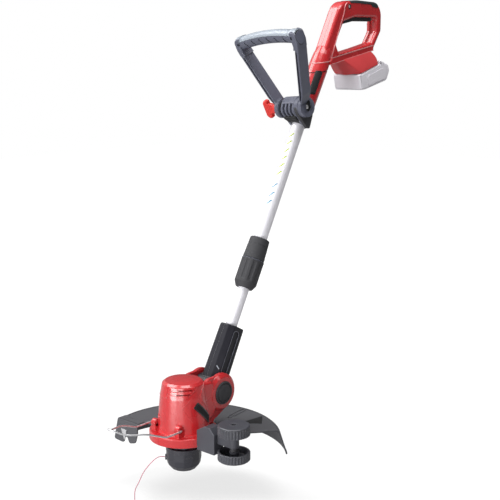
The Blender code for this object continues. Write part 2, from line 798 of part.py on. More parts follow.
def make_telescope_lock():
    """Collar on the upper tube, collet inside, and the fluted sleeve that tightens it."""
    foot = SLEEVE_TOP + GAP
    top = foot + COLLAR_LENGTH
    seat_r = COLLET_R + GAP
    tube_r = UPPER_TUBE_R + GAP
    profile = ((COLLAR_TOP_R, top), (COLLAR_R, foot), (seat_r, foot), (seat_r, UPPER_TUBE_FOOT),
               (tube_r, UPPER_TUBE_FOOT), (tube_r, top))
    turned("tube_collar", profile, SHAFT, BLACK, bored=True)
    lip = SLEEVE_FOOT + SLEEVE_CHAMFER
    turned("collet", ring(COLLET_R, LOWER_TUBE_R + GAP, UPPER_TUBE_FOOT - GAP, lip + GAP), SHAFT, BLACK,
           bored=True)
    profile = ((SLEEVE_R, SLEEVE_TOP), (SLEEVE_R, lip), (SLEEVE_FOOT_R, SLEEVE_FOOT),
               (LOWER_TUBE_R + GAP, SLEEVE_FOOT), (LOWER_TUBE_R + GAP, lip), (seat_r, lip),
               (seat_r, SLEEVE_TOP))
    sleeve = turned("lock_sleeve", profile, SHAFT, BLACK, bored=True)
    for i in range(FLUTES):
        angle = 2 * math.pi * i / FLUTES
        reach = SLEEVE_R + FLUTE_R * FLUTE_SET
        flute = cylinder(f"flute_{i}", FLUTE_R, lip + FLUTE_FOOT_EDGE, SLEEVE_TOP - FLUTE_TOP_EDGE, SHAFT,
                         at=(reach * math.cos(angle), reach * math.sin(angle), 0), sides=SMALL_ROUND)
        cut(sleeve, flute)


def neck_section(height, half_width, half_depth):
    """One section of the neck, its front edges cut off."""
    w, d, c = half_width, half_depth, NECK_CHAMFER
    outline = ((w, d), (-w, d), (-w, c - d), (c - w, -d), (w - c, -d), (w, c - d))
    return [(x, y, height) for x, y in outline]


def make_neck():
    """Two half shells clamped round the lower tube, with the hinge barrel."""
    screw_at = (-NECK_HALF_WIDTH + SCREW_HEAD, NECK_SCREW_BACK, NECK_SCREW_ALONG)

    def build(name):
        rings = [neck_section(NECK_FOOT, NECK_HALF_WIDTH, NECK_HALF_DEPTH + NECK_FLARE),
                 neck_section(NECK_TOP, NECK_HALF_WIDTH, NECK_HALF_DEPTH)]
        whole = soften(loft(name, rings, SHAFT, BLACK), NECK_EDGE)
        fuse(whole, cylinder(name + "_barrel", BARREL_R, -BARREL_HALF, BARREL_HALF, SHAFT, axis=TO_X))
        cut(whole, cylinder(name + "_tube_bore", LOWER_TUBE_R + GAP, LOWER_TUBE_FOOT - GAP,
                            NECK_TOP + WALL, SHAFT))
        cut(whole, cylinder(name + "_pin_bore", PIVOT_PIN_R + GAP, -FAR, FAR, SHAFT, axis=TO_X,
                            sides=SMALL_ROUND))
        corners = [(-NECK_SLOT_HALF, NECK_SLOT_FOOT, NECK_SLOT_CORNER),
                   (NECK_SLOT_HALF, NECK_SLOT_FOOT, NECK_SLOT_CORNER),
                   (NECK_SLOT_HALF, NECK_SLOT_TOP, NECK_SLOT_HALF),
                   (-NECK_SLOT_HALF, NECK_SLOT_TOP, NECK_SLOT_HALF)]
        for side in (-1, 1):
            low, high = sorted((side * (NECK_HALF_WIDTH - NECK_SLOT_DEPTH), side * (NECK_HALF_WIDTH + WALL)))
            cut(whole, plate(f"{name}_slot_{side}", [rounded(corners)], low, high, SHAFT))
        cut(whole, screw_hole(name + "_hole", SHAFT, screw_at, NECK_SCREW_REACH, FROM_RIGHT))
        return whole

    halves(build, "neck_left", "neck_right")
    screw("neck_screw", SHAFT, STEEL, screw_at, NECK_SCREW_REACH, FROM_RIGHT)
    reach = BOSS_FACE - BUTTON_TRAVEL - BUTTON_RIM - 2 * GAP
    cylinder("pivot_pin", PIVOT_PIN_R, -reach, reach, SHAFT, STEEL, axis=TO_X, sides=SMALL_ROUND)


HEAD_PROFILE = ((HEAD_TOP_R, HEAD_TOP), (HEAD_SHOULDER_R, HEAD_SHOULDER), (HEAD_WAIST_R, HEAD_WAIST),
                (HEAD_SKIRT_R, HEAD_SKIRT), (HEAD_SKIRT_R, FLANGE_TOP))
CHEEK = ((-0.075, 0.020, 0.0), (-0.034, 0.0350, 0.020), (0.008, 0.0365, 0.020), (0.033, 0.014, 0.020),
         (0.033, -0.018, 0.020), (0.010, -0.038, 0.020), (-0.036, -0.0605, 0.010), (-0.075, -0.0605, 0.0))
HEAD_SCREWS = ((-0.045, -0.050, -0.0205), (-0.117, -0.030, -0.0180))
BUTTON_SEAT = BOSS_FACE - BUTTON_TRAVEL - BUTTON_RIM - GAP


def make_motor_housing():
    """Two red half shells: motor bay, base flange, cheeks and bosses round the neck barrel."""

    def build(name):
        profile = ((0, HEAD_TOP),) + HEAD_PROFILE + ((FLANGE_R, FLANGE_TOP), (FLANGE_R, FLANGE_FOOT),
                                                     (0, FLANGE_FOOT))
        whole = turned(name, profile, MOTOR, RED, steps=HEAD_SIDES)
        for side in (-1, 1):
            low, high = sorted((side * CHEEK_IN, side * CHEEK_FACE))
            cheek = plate(f"{name}_cheek_{side}", [rounded(CHEEK, 3)], low, high, HEAD)
            low, high = sorted((side * (CHEEK_IN + LAP), side * BOSS_FACE))
            boss = cylinder(f"{name}_boss_{side}", BOSS_R, low, high, HEAD, axis=TO_X)
            fuse(whole, cheek, soften(boss, BOSS_R - BOSS_FACE_R, 1, 60))
        web = box(name + "_web", (-CHEEK_IN - WALL, *WEB_LOW), (CHEEK_IN + WALL, *WEB_HIGH), HEAD)
        fuse(whole, web)
        for side in (-1, 1):
            low, high = sorted((side * WIRE_LUG_IN, side * WIRE_LUG_OUT))
            lug = box(f"{name}_lug_{side}", (low, -WIRE_ROOT_AHEAD - WIRE_LUG_R, FLANGE_TOP - WALL),
                      (high, -WIRE_ROOT_AHEAD + WIRE_LUG_R, WIRE_ROOT_Z + WIRE_LUG_R), HEAD)
            fuse(whole, soften(lug, WIRE_LUG_EDGE, 1))
        cut(whole, cylinder(name + "_neck_slot", BARREL_R + NECK_CLEARANCE, -CHEEK_IN - GAP, CHEEK_IN + GAP, HEAD,
                            axis=TO_X))
        cut(whole, cylinder(name + "_bay", MOTOR_BAY_R, BAY_FLOOR, HEAD_TOP - WALL, MOTOR))
        cradle = turned(name + "_cradle", ring(MOTOR_BAY_R + WALL, MOTOR_R + GAP, BAY_FLOOR + CRADLE_HEIGHT,
                                               BAY_FLOOR - WALL / 2), MOTOR, bored=True)
        fuse(whole, cradle)
        cut(whole, cylinder(name + "_shaft_bore", MOTOR_SHAFT_R + SHAFT_CLEARANCE, FLANGE_FOOT, BAY_FLOOR + WALL, MOTOR,
                            sides=SMALL_ROUND))
        cut(whole, cylinder(name + "_spool_pocket", SPOOL_POCKET_R, FLANGE_FOOT - WALL, FLANGE_FOOT + SPOOL_POCKET_DEPTH,
                            MOTOR))
        pin_end = BUTTON_SEAT + LAP
        cut(whole, cylinder(name + "_pin_bore", PIVOT_PIN_R + GAP, -pin_end, pin_end, HEAD, axis=TO_X,
                            sides=SMALL_ROUND))
        for side in (-1, 1):
            low, high = sorted((side * BUTTON_SEAT, side * (BOSS_FACE + WALL)))
            cut(whole, cylinder(f"{name}_button_seat_{side}", BUTTON_R + GAP, low, high, HEAD, axis=TO_X))
        cut(whole, cylinder(name + "_wire_bore", WIRE_R + GAP, -FAR, FAR, HEAD, axis=TO_X,
                            at=(0, -WIRE_ROOT_AHEAD, WIRE_ROOT_Z), sides=SMALL_ROUND))
        for side in (-1, 1):
            for i in range(VENTS):
                heading = FRONT_HEADING + side * (VENT_FIRST + VENT_STEP * i)
                vent = box(f"{name}_vent_{side}_{i}", (MOTOR_BAY_R - WALL, -VENT_WIDTH / 2, HEAD_WAIST),
                           (HEAD_SKIRT_R, VENT_WIDTH / 2, HEAD_WAIST + VENT_HEIGHT), MOTOR,
                           turn=(0, 0, heading))
                cut(whole, vent)
        for i, (y, z, x) in enumerate(HEAD_SCREWS):
            cut(whole, screw_hole(f"{name}_hole_{i}", HEAD, (x, y, z), HEAD_SCREW_REACH, FROM_RIGHT))
            access = cylinder(f"{name}_access_{i}", SCREW_HEAD_R + 2 * GAP, -FAR, x, HEAD, axis=TO_X,
                              at=(0, y, z), sides=SMALL_ROUND)
            cut(whole, access)
        for i, heading in enumerate(GUARD_SCREWS):
            cut(whole, screw_hole(f"{name}_guard_hole_{i}", MOTOR, guard_screw_place(heading), GUARD_SCREW_REACH,
                                  (180, 0, 0)))
        return whole

    halves(build, "motor_housing_left", "motor_housing_right")
    for i, (y, z, x) in enumerate(HEAD_SCREWS):
        screw(f"motor_housing_screw_{i + 1}", HEAD, STEEL, (x, y, z), HEAD_SCREW_REACH, FROM_RIGHT)


def guard_screw_place(heading):
    angle = math.radians(heading)
    return (GUARD_SCREW_R * math.cos(angle), GUARD_SCREW_R * math.sin(angle), FLANGE_FOOT - GAP - GUARD_THICK)


def make_motor():
    """Motor can on the bay floor, in the housing's cradle ring, and its shaft."""
    foot = BAY_FLOOR + GAP
    top = foot + MOTOR_LENGTH
    bore_r = MOTOR_SHAFT_R + GAP
    bore_top = foot + MOTOR_BORE_DEPTH
    profile = ((0, top), (MOTOR_R, top), (MOTOR_R, foot), (bore_r, foot), (bore_r, bore_top), (0, bore_top))
    turned("motor_can", profile, MOTOR, STEEL)
    cylinder("motor_shaft", MOTOR_SHAFT_R, SPOOL_TOP - MOTOR_SHAFT_LAP, bore_top - GAP, MOTOR, STEEL, sides=SMALL_ROUND)


def make_pivot_button():
    """Sprung tilt button in the left boss, and the cap that closes the right one."""
    face = BOSS_FACE + BUTTON_PROUD
    rim = BOSS_FACE - BUTTON_RIM
    for name, side, travel in (("pivot_button", 1, BUTTON_TRAVEL), ("pivot_cap", -1, 0.0)):
        back = BUTTON_SEAT + GAP + travel
        profile = ((0, face), (BUTTON_R - BUTTON_EDGE, face), (BUTTON_R, face - BUTTON_EDGE), (BUTTON_R, min(rim, back)),
                   (0, min(rim, back)))
        piece = turned(name, profile, HEAD, BLACK)
        piece.rotation_euler = (0, side * math.radians(90), 0)


def guard_section(angle):
    """The visor's section at one heading round its centre."""
    top = FLANGE_FOOT - GAP
    rise = top + GUARD_RISE
    under = GUARD_THICK
    flat = FLANGE_R + GUARD_FLAT_RUN
    turn = GUARD_EDGE_OUT
    profile = ((GUARD_HUB_R, top), (flat, top), (GUARD_TOP_R - GUARD_EDGE_IN, rise),
               (GUARD_TOP_R + turn, rise - turn), (GUARD_RIM_R, GUARD_RIM),
               (GUARD_RIM_R - under, GUARD_RIM), (GUARD_TOP_R, rise - 2 * turn),
               (GUARD_TOP_R - turn, rise - under), (flat, top - under), (GUARD_HUB_R, top - under))
    heading = math.radians(angle)
    return [(GUARD_SIDE + r * math.cos(heading), -GUARD_AHEAD + r * math.sin(heading), z) for r, z in profile]


def make_guard():
    """The visor, its front fender with the line cutter, and its screws."""
    span = GUARD_END - GUARD_START
    rings = [guard_section(GUARD_START + span * i / GUARD_STEPS) for i in range(GUARD_STEPS + 1)]
    guard = loft("guard", rings, HEAD, GUARD_BLACK)
    shelf_top = FLANGE_FOOT - GAP + GUARD_RISE / 2
    shelf = box("guard_shelf", (-FENDER_OUT, -FENDER_BACK, shelf_top - GUARD_THICK),
                (-FENDER_IN, -FENDER_SHELF_BACK, shelf_top), HEAD)
    fuse(guard, shelf)
    wall_front = FENDER_BACK + FENDER_PROUD
    wall = ((-FENDER_IN, shelf_top, FENDER_FILLET / 2), *FENDER_EDGE,
            (-FENDER_OUT - GUARD_EDGE_OUT / 6, shelf_top, FENDER_FILLET))
    fuse(guard, plate("guard_wall", [rounded(wall)], FENDER_BACK - GUARD_THICK, wall_front, HEAD,
                      view=FACE_ON))
    cut(guard, cylinder("guard_spool_opening", SPOOL_OPENING_R, GUARD_RIM, 0, MOTOR))
    for i, heading in enumerate(GUARD_SCREWS):
        cut(guard, screw_hole(f"guard_hole_{i}", MOTOR, guard_screw_place(heading), GUARD_SCREW_REACH, (180, 0, 0)))
        screw(f"guard_screw_{i + 1}", MOTOR, STEEL, guard_screw_place(heading), GUARD_SCREW_REACH, (180, 0, 0))
    blade_back = wall_front + GAP
    plate("line_cutter_blade", [rounded(BLADE)], blade_back, blade_back + BLADE_THICK, HEAD, STEEL, view=FACE_ON)


def make_wire_guard():
    """Sprung steel bow in front of the spool, hinged in the two lugs."""
    side = ((WIRE_LUG_IN + WIRE_LUG_LAP, -WIRE_ROOT_AHEAD, WIRE_ROOT_Z),
            (WIRE_ROOT_SIDE - WIRE_BEND, -WIRE_ROOT_AHEAD, WIRE_ROOT_Z),
            (WIRE_ROOT_SIDE, -WIRE_ROOT_AHEAD - WIRE_BEND, WIRE_ROOT_Z), *WIRE_BOW)
    other = [(-x, y, z) for x, y, z in reversed(side[:-1])]
    rod("wire_guard", list(side) + other, WIRE_R, HEAD, STEEL, sides=1)


def make_wheels():
    """Two edging wheels on one upright axle, and the bracket that carries them."""
    at = (AXLE_SIDE, -AXLE_AHEAD, 0)
    bore = AXLE_R + GAP
    inner = WHEEL_R - WHEEL_WALL
    top = UPPER_WHEEL_TOP
    foot = top - UPPER_WHEEL_WIDTH
    upper = ((WHEEL_R - WHEEL_EDGE, top), (WHEEL_R, top - WHEEL_EDGE), (WHEEL_R, foot), (inner, foot),
             (inner, top - WHEEL_WALL), (WHEEL_HUB_R, top - WHEEL_WALL), (WHEEL_HUB_R, foot), (bore, foot),
             (bore, top))
    turned("upper_wheel", upper, HEAD, GREY, at, bored=True)
    top = LOWER_WHEEL_TOP
    foot = top - LOWER_WHEEL_WIDTH
    lower = ((WHEEL_R, top), (WHEEL_R, foot), (bore, foot), (bore, top), (WHEEL_HUB_R, top),
             (WHEEL_HUB_R, foot + WHEEL_WALL), (inner, foot + WHEEL_WALL), (inner, top))
    turned("lower_wheel", lower, HEAD, GREY, at, bored=True)
    head_top = UPPER_WHEEL_TOP + GAP + AXLE_HEAD
    head_foot = foot - GAP - AXLE_HEAD
    axle = ((0, head_top), (AXLE_HEAD_R, head_top), (AXLE_HEAD_R, head_top - AXLE_HEAD),
            (AXLE_R, head_top - AXLE_HEAD), (AXLE_R, head_foot + AXLE_HEAD),
            (AXLE_HEAD_R, head_foot + AXLE_HEAD), (AXLE_HEAD_R, head_foot), (0, head_foot))
    turned("wheel_axle", axle, HEAD, STEEL, at, steps=SMALL_ROUND)
    bracket = plate("wheel_bracket", [rounded(BRACKET_OUTLINE)], BRACKET_FRONT - BRACKET_DEPTH, BRACKET_FRONT, HEAD,
                    GUARD_BLACK, view=FACE_ON)
    arm = box("bracket_arm", (BRACKET_ARM_IN, -AXLE_AHEAD - ARM_HALF_DEPTH, ARM_FOOT),
              (AXLE_SIDE + LAP, -AXLE_AHEAD + ARM_HALF_DEPTH, ARM_TOP), HEAD)
    end = cylinder("bracket_end", ARM_HALF_DEPTH + LAP, ARM_FOOT - GAP, ARM_TOP + GAP, HEAD, at=at)
    boss = cylinder("bracket_boss", BRACKET_BOSS_R, LOWER_WHEEL_TOP + GAP,
                    UPPER_WHEEL_TOP - UPPER_WHEEL_WIDTH - GAP, HEAD, at=at, sides=SMALL_ROUND)
    fuse(bracket, arm, end, boss)
    cut(bracket, cylinder("bracket_seat", FLANGE_R + GAP, BRACKET_FOOT - WALL, 0, MOTOR, sides=HEAD_SIDES))
    cut(bracket, cylinder("bracket_bore", AXLE_R + GAP, BRACKET_FOOT, 0, HEAD, at=at, sides=SMALL_ROUND))


def make_spool():
    """Spool: holder on the motor shaft, bobbin, cap, eyelet and cutting line."""
    holder_top = SPOOL_TOP - GAP
    inner = SPOOL_R - SPOOL_WALL
    core = BOBBIN_CORE_R - GAP
    bore = MOTOR_SHAFT_R + GAP
    neck_top = FLANGE_FOOT + SPOOL_NECK_LAP
    holder = ((SPOOL_NECK_R, neck_top), (SPOOL_NECK_R, holder_top), (inner - GAP, holder_top),
              (inner - GAP, holder_top - HOLDER_RIM), (core, holder_top - HOLDER_RIM),
              (core, holder_top - HOLDER_CORE), (bore, holder_top - HOLDER_CORE), (bore, neck_top))
    turned("spool_holder", holder, MOTOR, BLACK, bored=True)
    floor_top = SPOOL_FOOT + SPOOL_WALL
    cap = ((0, floor_top), (SPOOL_FOOT_R - SPOOL_CURVE, floor_top), (inner - SPOOL_CURVE, SPOOL_CURVE_IN_Z),
           (inner, SPOOL_STEP_Z), (inner, SPOOL_TOP), (SPOOL_R, SPOOL_TOP), (SPOOL_R, SPOOL_STEP_Z),
           (SPOOL_R - SPOOL_CURVE, SPOOL_CURVE_Z), (SPOOL_FOOT_R, SPOOL_FOOT), (0, SPOOL_FOOT))
    shell = turned("spool_cap", cap, MOTOR, BLACK)
    heading = math.radians(LINE_HEADING)
    outward = Vector((math.cos(heading), math.sin(heading), 0))
    tilt = (0, math.radians(90), heading)
    hole = cylinder("eyelet_hole", EYELET_R + GAP, SPOOL_R - EYELET_LENGTH, SPOOL_R + WALL, MOTOR,
                    sides=SMALL_ROUND)
    hole.location = (0, 0, EYELET_Z)
    hole.rotation_euler = tilt
    cut(shell, hole)
    flat = SPOOL_R + GAP
    lip_r = EYELET_R + EYELET_LIP
    eyelet = ((lip_r, flat + EYELET_PROUD), (lip_r, flat), (EYELET_R, flat), (EYELET_R, flat - EYELET_SHANK),
              (EYELET_BORE_R, flat - EYELET_SHANK), (EYELET_BORE_R, flat + EYELET_PROUD))
    nub = turned("line_eyelet", eyelet, MOTOR, STEEL, (0, 0, EYELET_Z), steps=SMALL_ROUND, bored=True)
    nub.rotation_euler = tilt
    floor = holder_top - BOBBIN_DROP
    rim = BOBBIN_RIM
    low = floor - BOBBIN_HEIGHT
    wound_r = BOBBIN_R - BOBBIN_LIP
    bobbin = ((BOBBIN_R, floor), (BOBBIN_R, floor - rim), (wound_r, floor - rim), (wound_r, low + rim),
              (BOBBIN_R, low + rim), (BOBBIN_R, low), (BOBBIN_CORE_R, low), (BOBBIN_CORE_R, floor))
    turned("line_bobbin", bobbin, MOTOR, LINE, bored=True)
    start = SPOOL_R + EYELET_PROUD + GAP
    route = [outward * (SPOOL_R - LAP) + Vector((0, 0, EYELET_Z))]
    route += [outward * (start + out) + Vector((0, 0, EYELET_Z - down)) for out, down in LINE_ROUTE]
    rod("cutting_line", smooth_path(route, LINE_STEPS), LINE_R, MOTOR, LINE)


def make_front_handle_hub():
    """Clamp on the upper tube in two halves, its screws, bolt and wing knob."""
    tube_r = UPPER_TUBE_R + GAP
    front = box("hub_front", (-HUB_EAR_HALF, -HUB_AHEAD - HUB_EAR_FRONT, -HUB_EAR_RISE),
                (HUB_EAR_HALF, -GAP / 2, HUB_EAR_RISE), HUB, GREY)
    back = box("hub_back", (-HUB_EAR_HALF, GAP / 2, -HUB_EAR_RISE), (HUB_EAR_HALF, HUB_EAR_BACK, HUB_EAR_RISE),
               HUB, GREY)
    for half, low, high in ((front, -FAR, -GAP / 2), (back, GAP / 2, FAR)):
        fuse(half, cylinder(half.name + "_sleeve", HUB_SLEEVE_R, -HUB_DOWN, HUB_UP, HUB))
        keep(half, box(half.name + "_side", (-FAR, low, -FAR), (FAR, high, FAR), HUB))
    fuse(front, cylinder("hub_barrel", HUB_BARREL_R, -HUB_HALF_WIDTH, HUB_HALF_WIDTH, HUB, axis=TO_X,
                         at=(0, -HUB_AHEAD, 0)))
    bore = cylinder("hub_bore", tube_r, -HUB_DOWN * 1.5, HUB_UP * 1.5, HUB)
    cut(front, bore)
    cut(back, bore)
    bolt_bore = cylinder("hub_bolt_bore", CLAMP_BOLT_R + GAP, -FAR, FAR, HUB, axis=TO_X,
                         at=(0, -HUB_AHEAD, 0), sides=SMALL_ROUND)
    cut(front, bolt_bore)
    barrel_front = -HUB_AHEAD - HUB_BARREL_R
    for i in range(HUB_SLOTS):
        x = (i - (HUB_SLOTS - 1) / 2) * HUB_SLOT_PITCH
        slot = box(f"hub_slot_{i}", (x - HUB_SLOT_HALF, barrel_front - WALL, HUB_SLOT_FOOT),
                   (x + HUB_SLOT_HALF, barrel_front + HUB_SLOT_DEPTH, HUB_SLOT_TOP), HUB)
        cut(front, slot)
    for i, x in enumerate((-HUB_SCREW_SIDE, HUB_SCREW_SIDE)):
        place = (x, HUB_EAR_BACK - 2 * GAP, 0)
        hole = screw_hole(f"hub_hole_{i}", HUB, place, HUB_SCREW_REACH, (-90, 0, 0))
        cut(front, hole)
        cut(back, hole)
        screw(f"hub_screw_{i + 1}", HUB, STEEL, place, HUB_SCREW_REACH, (-90, 0, 0))


def arm_corners(side):
    """Outline of one arm of the front handle, from its boss to the grip's end."""
    root = HUB_HALF_WIDTH + GAP
    out = root + ARM_PLATE
    corners = [(root, ARM_BACK, 0.0), (out, ARM_BACK, 0.0), (out, ARM_STEP, ARM_STEP_R), ARM_KNEE,
               (ARM_END, LOOP_LENGTH - ARM_SHOULDER, ARM_SHOULDER_R), (ARM_END, LOOP_LENGTH + ARM_TIP_OUT, ARM_TIP_R),
               (GRIP_FACE, LOOP_LENGTH + ARM_TIP_IN, ARM_CROTCH),
               (GRIP_FACE, LOOP_LENGTH - GRIP_R - ARM_CROTCH, 0.0), (root, ARM_CROTCH, ARM_CROTCH_R)]
    return [(side * a, b, radius) for a, b, radius in corners]


def make_front_handle():
    """Loop handle: two arms, a two-shell grip with finger grooves, bolt and knob."""
    root = HUB_HALF_WIDTH + GAP
    out = root + ARM_PLATE
    bolt_bore = cylinder("arm_bolt_bore", CLAMP_BOLT_R + GAP, -FAR, FAR, LOOP, axis=TO_X, sides=SMALL_ROUND)
    for name, side in (("arm_left", 1), ("arm_right", -1)):
        arm = plate(name, [rounded(arm_corners(side))], -ARM_DEPTH / 2, ARM_DEPTH / 2, LOOP, GREY, view=FACE_ON)
        low, high = sorted((side * root, side * out))
        fuse(arm, cylinder(name + "_boss", HUB_BARREL_R, low, high, LOOP, axis=TO_X))
        slot = rounded([(side * a, b, radius) for a, b, radius in ARM_GROOVE])
        cut(arm, bolt_bore, plate(name + "_groove", [slot], ARM_DEPTH / 2 - ARM_GROOVE_DEPTH, ARM_DEPTH, LOOP,
                                  view=FACE_ON))
        if side > 0:
            cut(arm, cylinder(name + "_recess", BOLT_HEAD_R + LAP, out - BOLT_RECESS, out + WALL, LOOP, axis=TO_X,
                              sides=SMALL_ROUND))
    face = out + BOLT_PROUD
    seat = out - BOLT_RECESS + GAP
    end = BOLT_SHORT - KNOB_REACH
    bolt = ((0, face), (BOLT_HEAD_R, face), (BOLT_HEAD_R, seat), (CLAMP_BOLT_R, seat), (CLAMP_BOLT_R, end), (0, end))
    turned("clamp_bolt", bolt, LOOP, STEEL, axis=TO_X, steps=SMALL_ROUND)
    knob = cylinder("clamp_knob", KNOB_HUB_R, KNOB_END - KNOB_REACH, -out - GAP, LOOP, RED, axis=TO_X)
    fuse(knob, plate("knob_wing", [rounded(KNOB_WING)], -WING_HALF, WING_HALF, LOOP, view=FACE_ON))
    cut(knob, cylinder("knob_bore", CLAMP_BOLT_R + GAP, end - GAP, -out + WALL, LOOP, axis=TO_X,
                       sides=SMALL_ROUND))
    reach = GRIP_FACE - GAP
    for name, first, half_turn, stations in (("front_grip_upper", 0, 1, GRIP_STATIONS),
                                             ("front_grip_lower", 180, -1, 4 * FINGERS)):
        rings = []
        for i in range(stations + 1):
            x = -reach + 2 * reach * i / stations
            bow = GRIP_BOW * (1 - (x / reach) ** 2)
            groove = 0.0
            if half_turn < 0 and abs(x) < reach * FINGER_SPAN:
                groove = FINGER_DEPTH * (0.5 - 0.5 * math.cos(2 * math.pi * FINGERS * (x + reach) / (2 * reach)))
            section = []
            for k in range(GRIP_STATIONS + 1):
                angle = math.radians(first + 180 * k / GRIP_STATIONS)
                height = GRIP_R * math.sin(angle)
                if half_turn < 0:
                    height = height * (1 - groove / GRIP_R)
                section.append((x, ARM_DEPTH / 2 * GRIP_DEPTH_SHARE * math.cos(angle),
                                LOOP_LENGTH + bow + half_turn * GAP / 2 + height))
            rings.append(section)
        shell = loft(name, rings, LOOP, GREY)
        for j, side in enumerate((-1, 1)):
            place = (side * (reach - GRIP_SCREW_IN), 0, LOOP_LENGTH - GRIP_R + GRIP_SCREW_UP)
            hole = screw_hole(f"{name}_hole_{j}", LOOP, place, GRIP_SCREW_REACH, (180, 0, 0))
            cut(shell, hole)
    for j, side in enumerate((-1, 1)):
        place = (side * (reach - GRIP_SCREW_IN), 0, LOOP_LENGTH - GRIP_R + GRIP_SCREW_UP)
        screw(f"front_grip_screw_{j + 1}", LOOP, STEEL, place, GRIP_SCREW_REACH, (180, 0, 0))


HOUSING_SCREWS = ((-0.053, 0.0065, FROM_LEFT), (0.064, -0.030, FROM_RIGHT), (-0.113, -0.086, FROM_RIGHT))


def d_slab(name, grow):
    """The D-shaped handle as a slab, grown or shrunk all round."""
    outer = rounded(offset(HOUSING_OUTLINE, grow), 3)
    hole = rounded(offset(LOOP_OUTLINE, -grow), 2)
    half = HOUSING_HALF + grow
    return plate(name, [outer, hole], -half, half, ROOT)


def screw_face(turn):
    """Where a housing screw's head sits, sunk in its side."""
    side = 1 if turn == FROM_LEFT else -1
    return side * (HOUSING_HALF - SCREW_HEAD)


def foot_rings():
    """Bottom and top sections of the battery foot, bowed at the front."""
    slope = math.radians(RAIL_SLOPE)
    start = Vector((0, RAIL_START_Y, RAIL_START_Z))
    run = Vector((0, math.cos(slope), math.sin(slope)))
    high = start + run * FOOT_LENGTH
    half = FOOT_HALF
    top_half = FOOT_TOP_HALF
    bevel = FOOT_BEVEL
    bottom = [(half - bevel, start), (half, start + run * bevel), (half, high - run * bevel), (half - bevel, high)]
    ledge_run = Vector((0, LEDGE_TOP[1][0] - LEDGE_TOP[0][0], LEDGE_TOP[1][1] - LEDGE_TOP[0][1])).normalized()
    ledge_start = Vector((0, LEDGE_TOP[0][0], LEDGE_TOP[0][1] - FOOT_SINK))
    top_low = ledge_start + ledge_run * FOOT_LEDGE_FROM
    top_high = ledge_start + ledge_run * FOOT_LEDGE_TO
    top = [(top_half - bevel, top_low), (top_half, top_low + ledge_run * bevel),
           (top_half, top_high - ledge_run * bevel), (top_half - bevel, top_high)]
    rings = []
    for corners, ahead in ((bottom, run), (top, ledge_run)):
        right = [Vector((x, 0, 0)) + place for x, place in corners]
        left = [Vector((-x, 0, 0)) + place for x, place in reversed(corners)]
        bow = corners[0][1] - ahead * FOOT_BOW
        rings.append(right + left + [bow])
    return rings


def make_rear_housing():
    """Left and right shell of the rear handle, from the tube socket to the battery foot."""

    def build(name):
        whole = soften(d_slab(name, 0.0), HOUSING_ROUND)
        whole.data.materials.append(RED)
        fuse(whole, cylinder(name + "_socket", SOCKET_FOOT_R, SOCKET_FOOT, SOCKET_SEAM + SOCKET_LAP, SHAFT,
                             at=(0, SOCKET_SHIFT, 0), end_radius=SOCKET_SEAM_R))
        (y0, z0), (y1, z1) = LEDGE_TOP
        ledge = [(y0, z0, 0), (y0 - LEDGE_NOSE, z0 - LEDGE_THICK - LEDGE_EDGE, 0.0),
                 (y1 - LEDGE_EDGE, z1 - LEDGE_THICK, LEDGE_EDGE), (y1, z1, LEDGE_CORNER)]
        ledge_plate = plate(name + "_ledge", [rounded(ledge, 2)], -LEDGE_HALF, LEDGE_HALF, ROOT)
        fuse(whole, ledge_plate, loft(name + "_foot", foot_rings(), ROOT))
        cut(whole, d_slab(name + "_cavity", -WALL))
        cut(whole, cylinder(name + "_tube_bore", UPPER_TUBE_R + GAP, SOCKET_FOOT - WALL,
                            UPPER_TUBE_TOP + GAP, SHAFT))
        cut(whole, cylinder(name + "_cable_bore", UPPER_TUBE_R - WALL, UPPER_TUBE_TOP, SOCKET_SEAM + CABLE_BORE_RUN, SHAFT,
                            sides=SMALL_ROUND))
        cut(whole, box(name + "_rail_bay", (-RAIL_HALF - GAP, RAIL_BAY_START, -WALL),
                       (RAIL_HALF + GAP, FAR, RAIL_HEIGHT + GAP), RAIL))
        slot_half = TRIGGER_HALF + TRIGGER_SIDE_GAP
        cut(whole, box(name + "_trigger_slot", (-slot_half, *TRIGGER_SLOT_LOW),
                       (slot_half, *TRIGGER_SLOT_HIGH), ROOT))
        for i, (y, z, turn) in enumerate(HOUSING_SCREWS):
            reach = HOUSING_HALF - POST_SHORT
            post = cylinder(f"{name}_post_{i}", POST_R, -reach, reach, ROOT, axis=TO_X, at=(0, y, z),
                            sides=SMALL_ROUND)
            fuse(whole, post)
            cut(whole, screw_hole(f"{name}_hole_{i}", ROOT, (screw_face(turn), y, z), SCREW_REACH, turn))
        cut(whole, cylinder(name + "_lock_off_bore", LOCK_OFF_R + GAP, -HOUSING_HALF * 2, -TRIGGER_HALF, ROOT,
                            axis=TO_X, at=(0, LOCK_OFF_Y, LOCK_OFF_Z), sides=SMALL_ROUND))
        return whole

    halves(build, "rear_housing_left", "rear_housing_right")
    for i, (y, z, turn) in enumerate(HOUSING_SCREWS):
        screw(f"rear_housing_screw_{i + 1}", ROOT, STEEL, (screw_face(turn), y, z), SCREW_REACH, turn)


def make_grip_overmould():
    """Soft band over the top of the grip."""
    band = soften(d_slab("grip_overmould", OVERMOULD_PROUD), HOUSING_ROUND)
    band.data.materials.append(RUBBER)
    inner = soften(d_slab("overmould_core", GAP), HOUSING_ROUND)
    cut(band, inner)
    keep(band, box("overmould_zone", (-FAR, OVERMOULD_FRONT, OVERMOULD_FOOT), (FAR, OVERMOULD_BACK, FAR), ROOT))


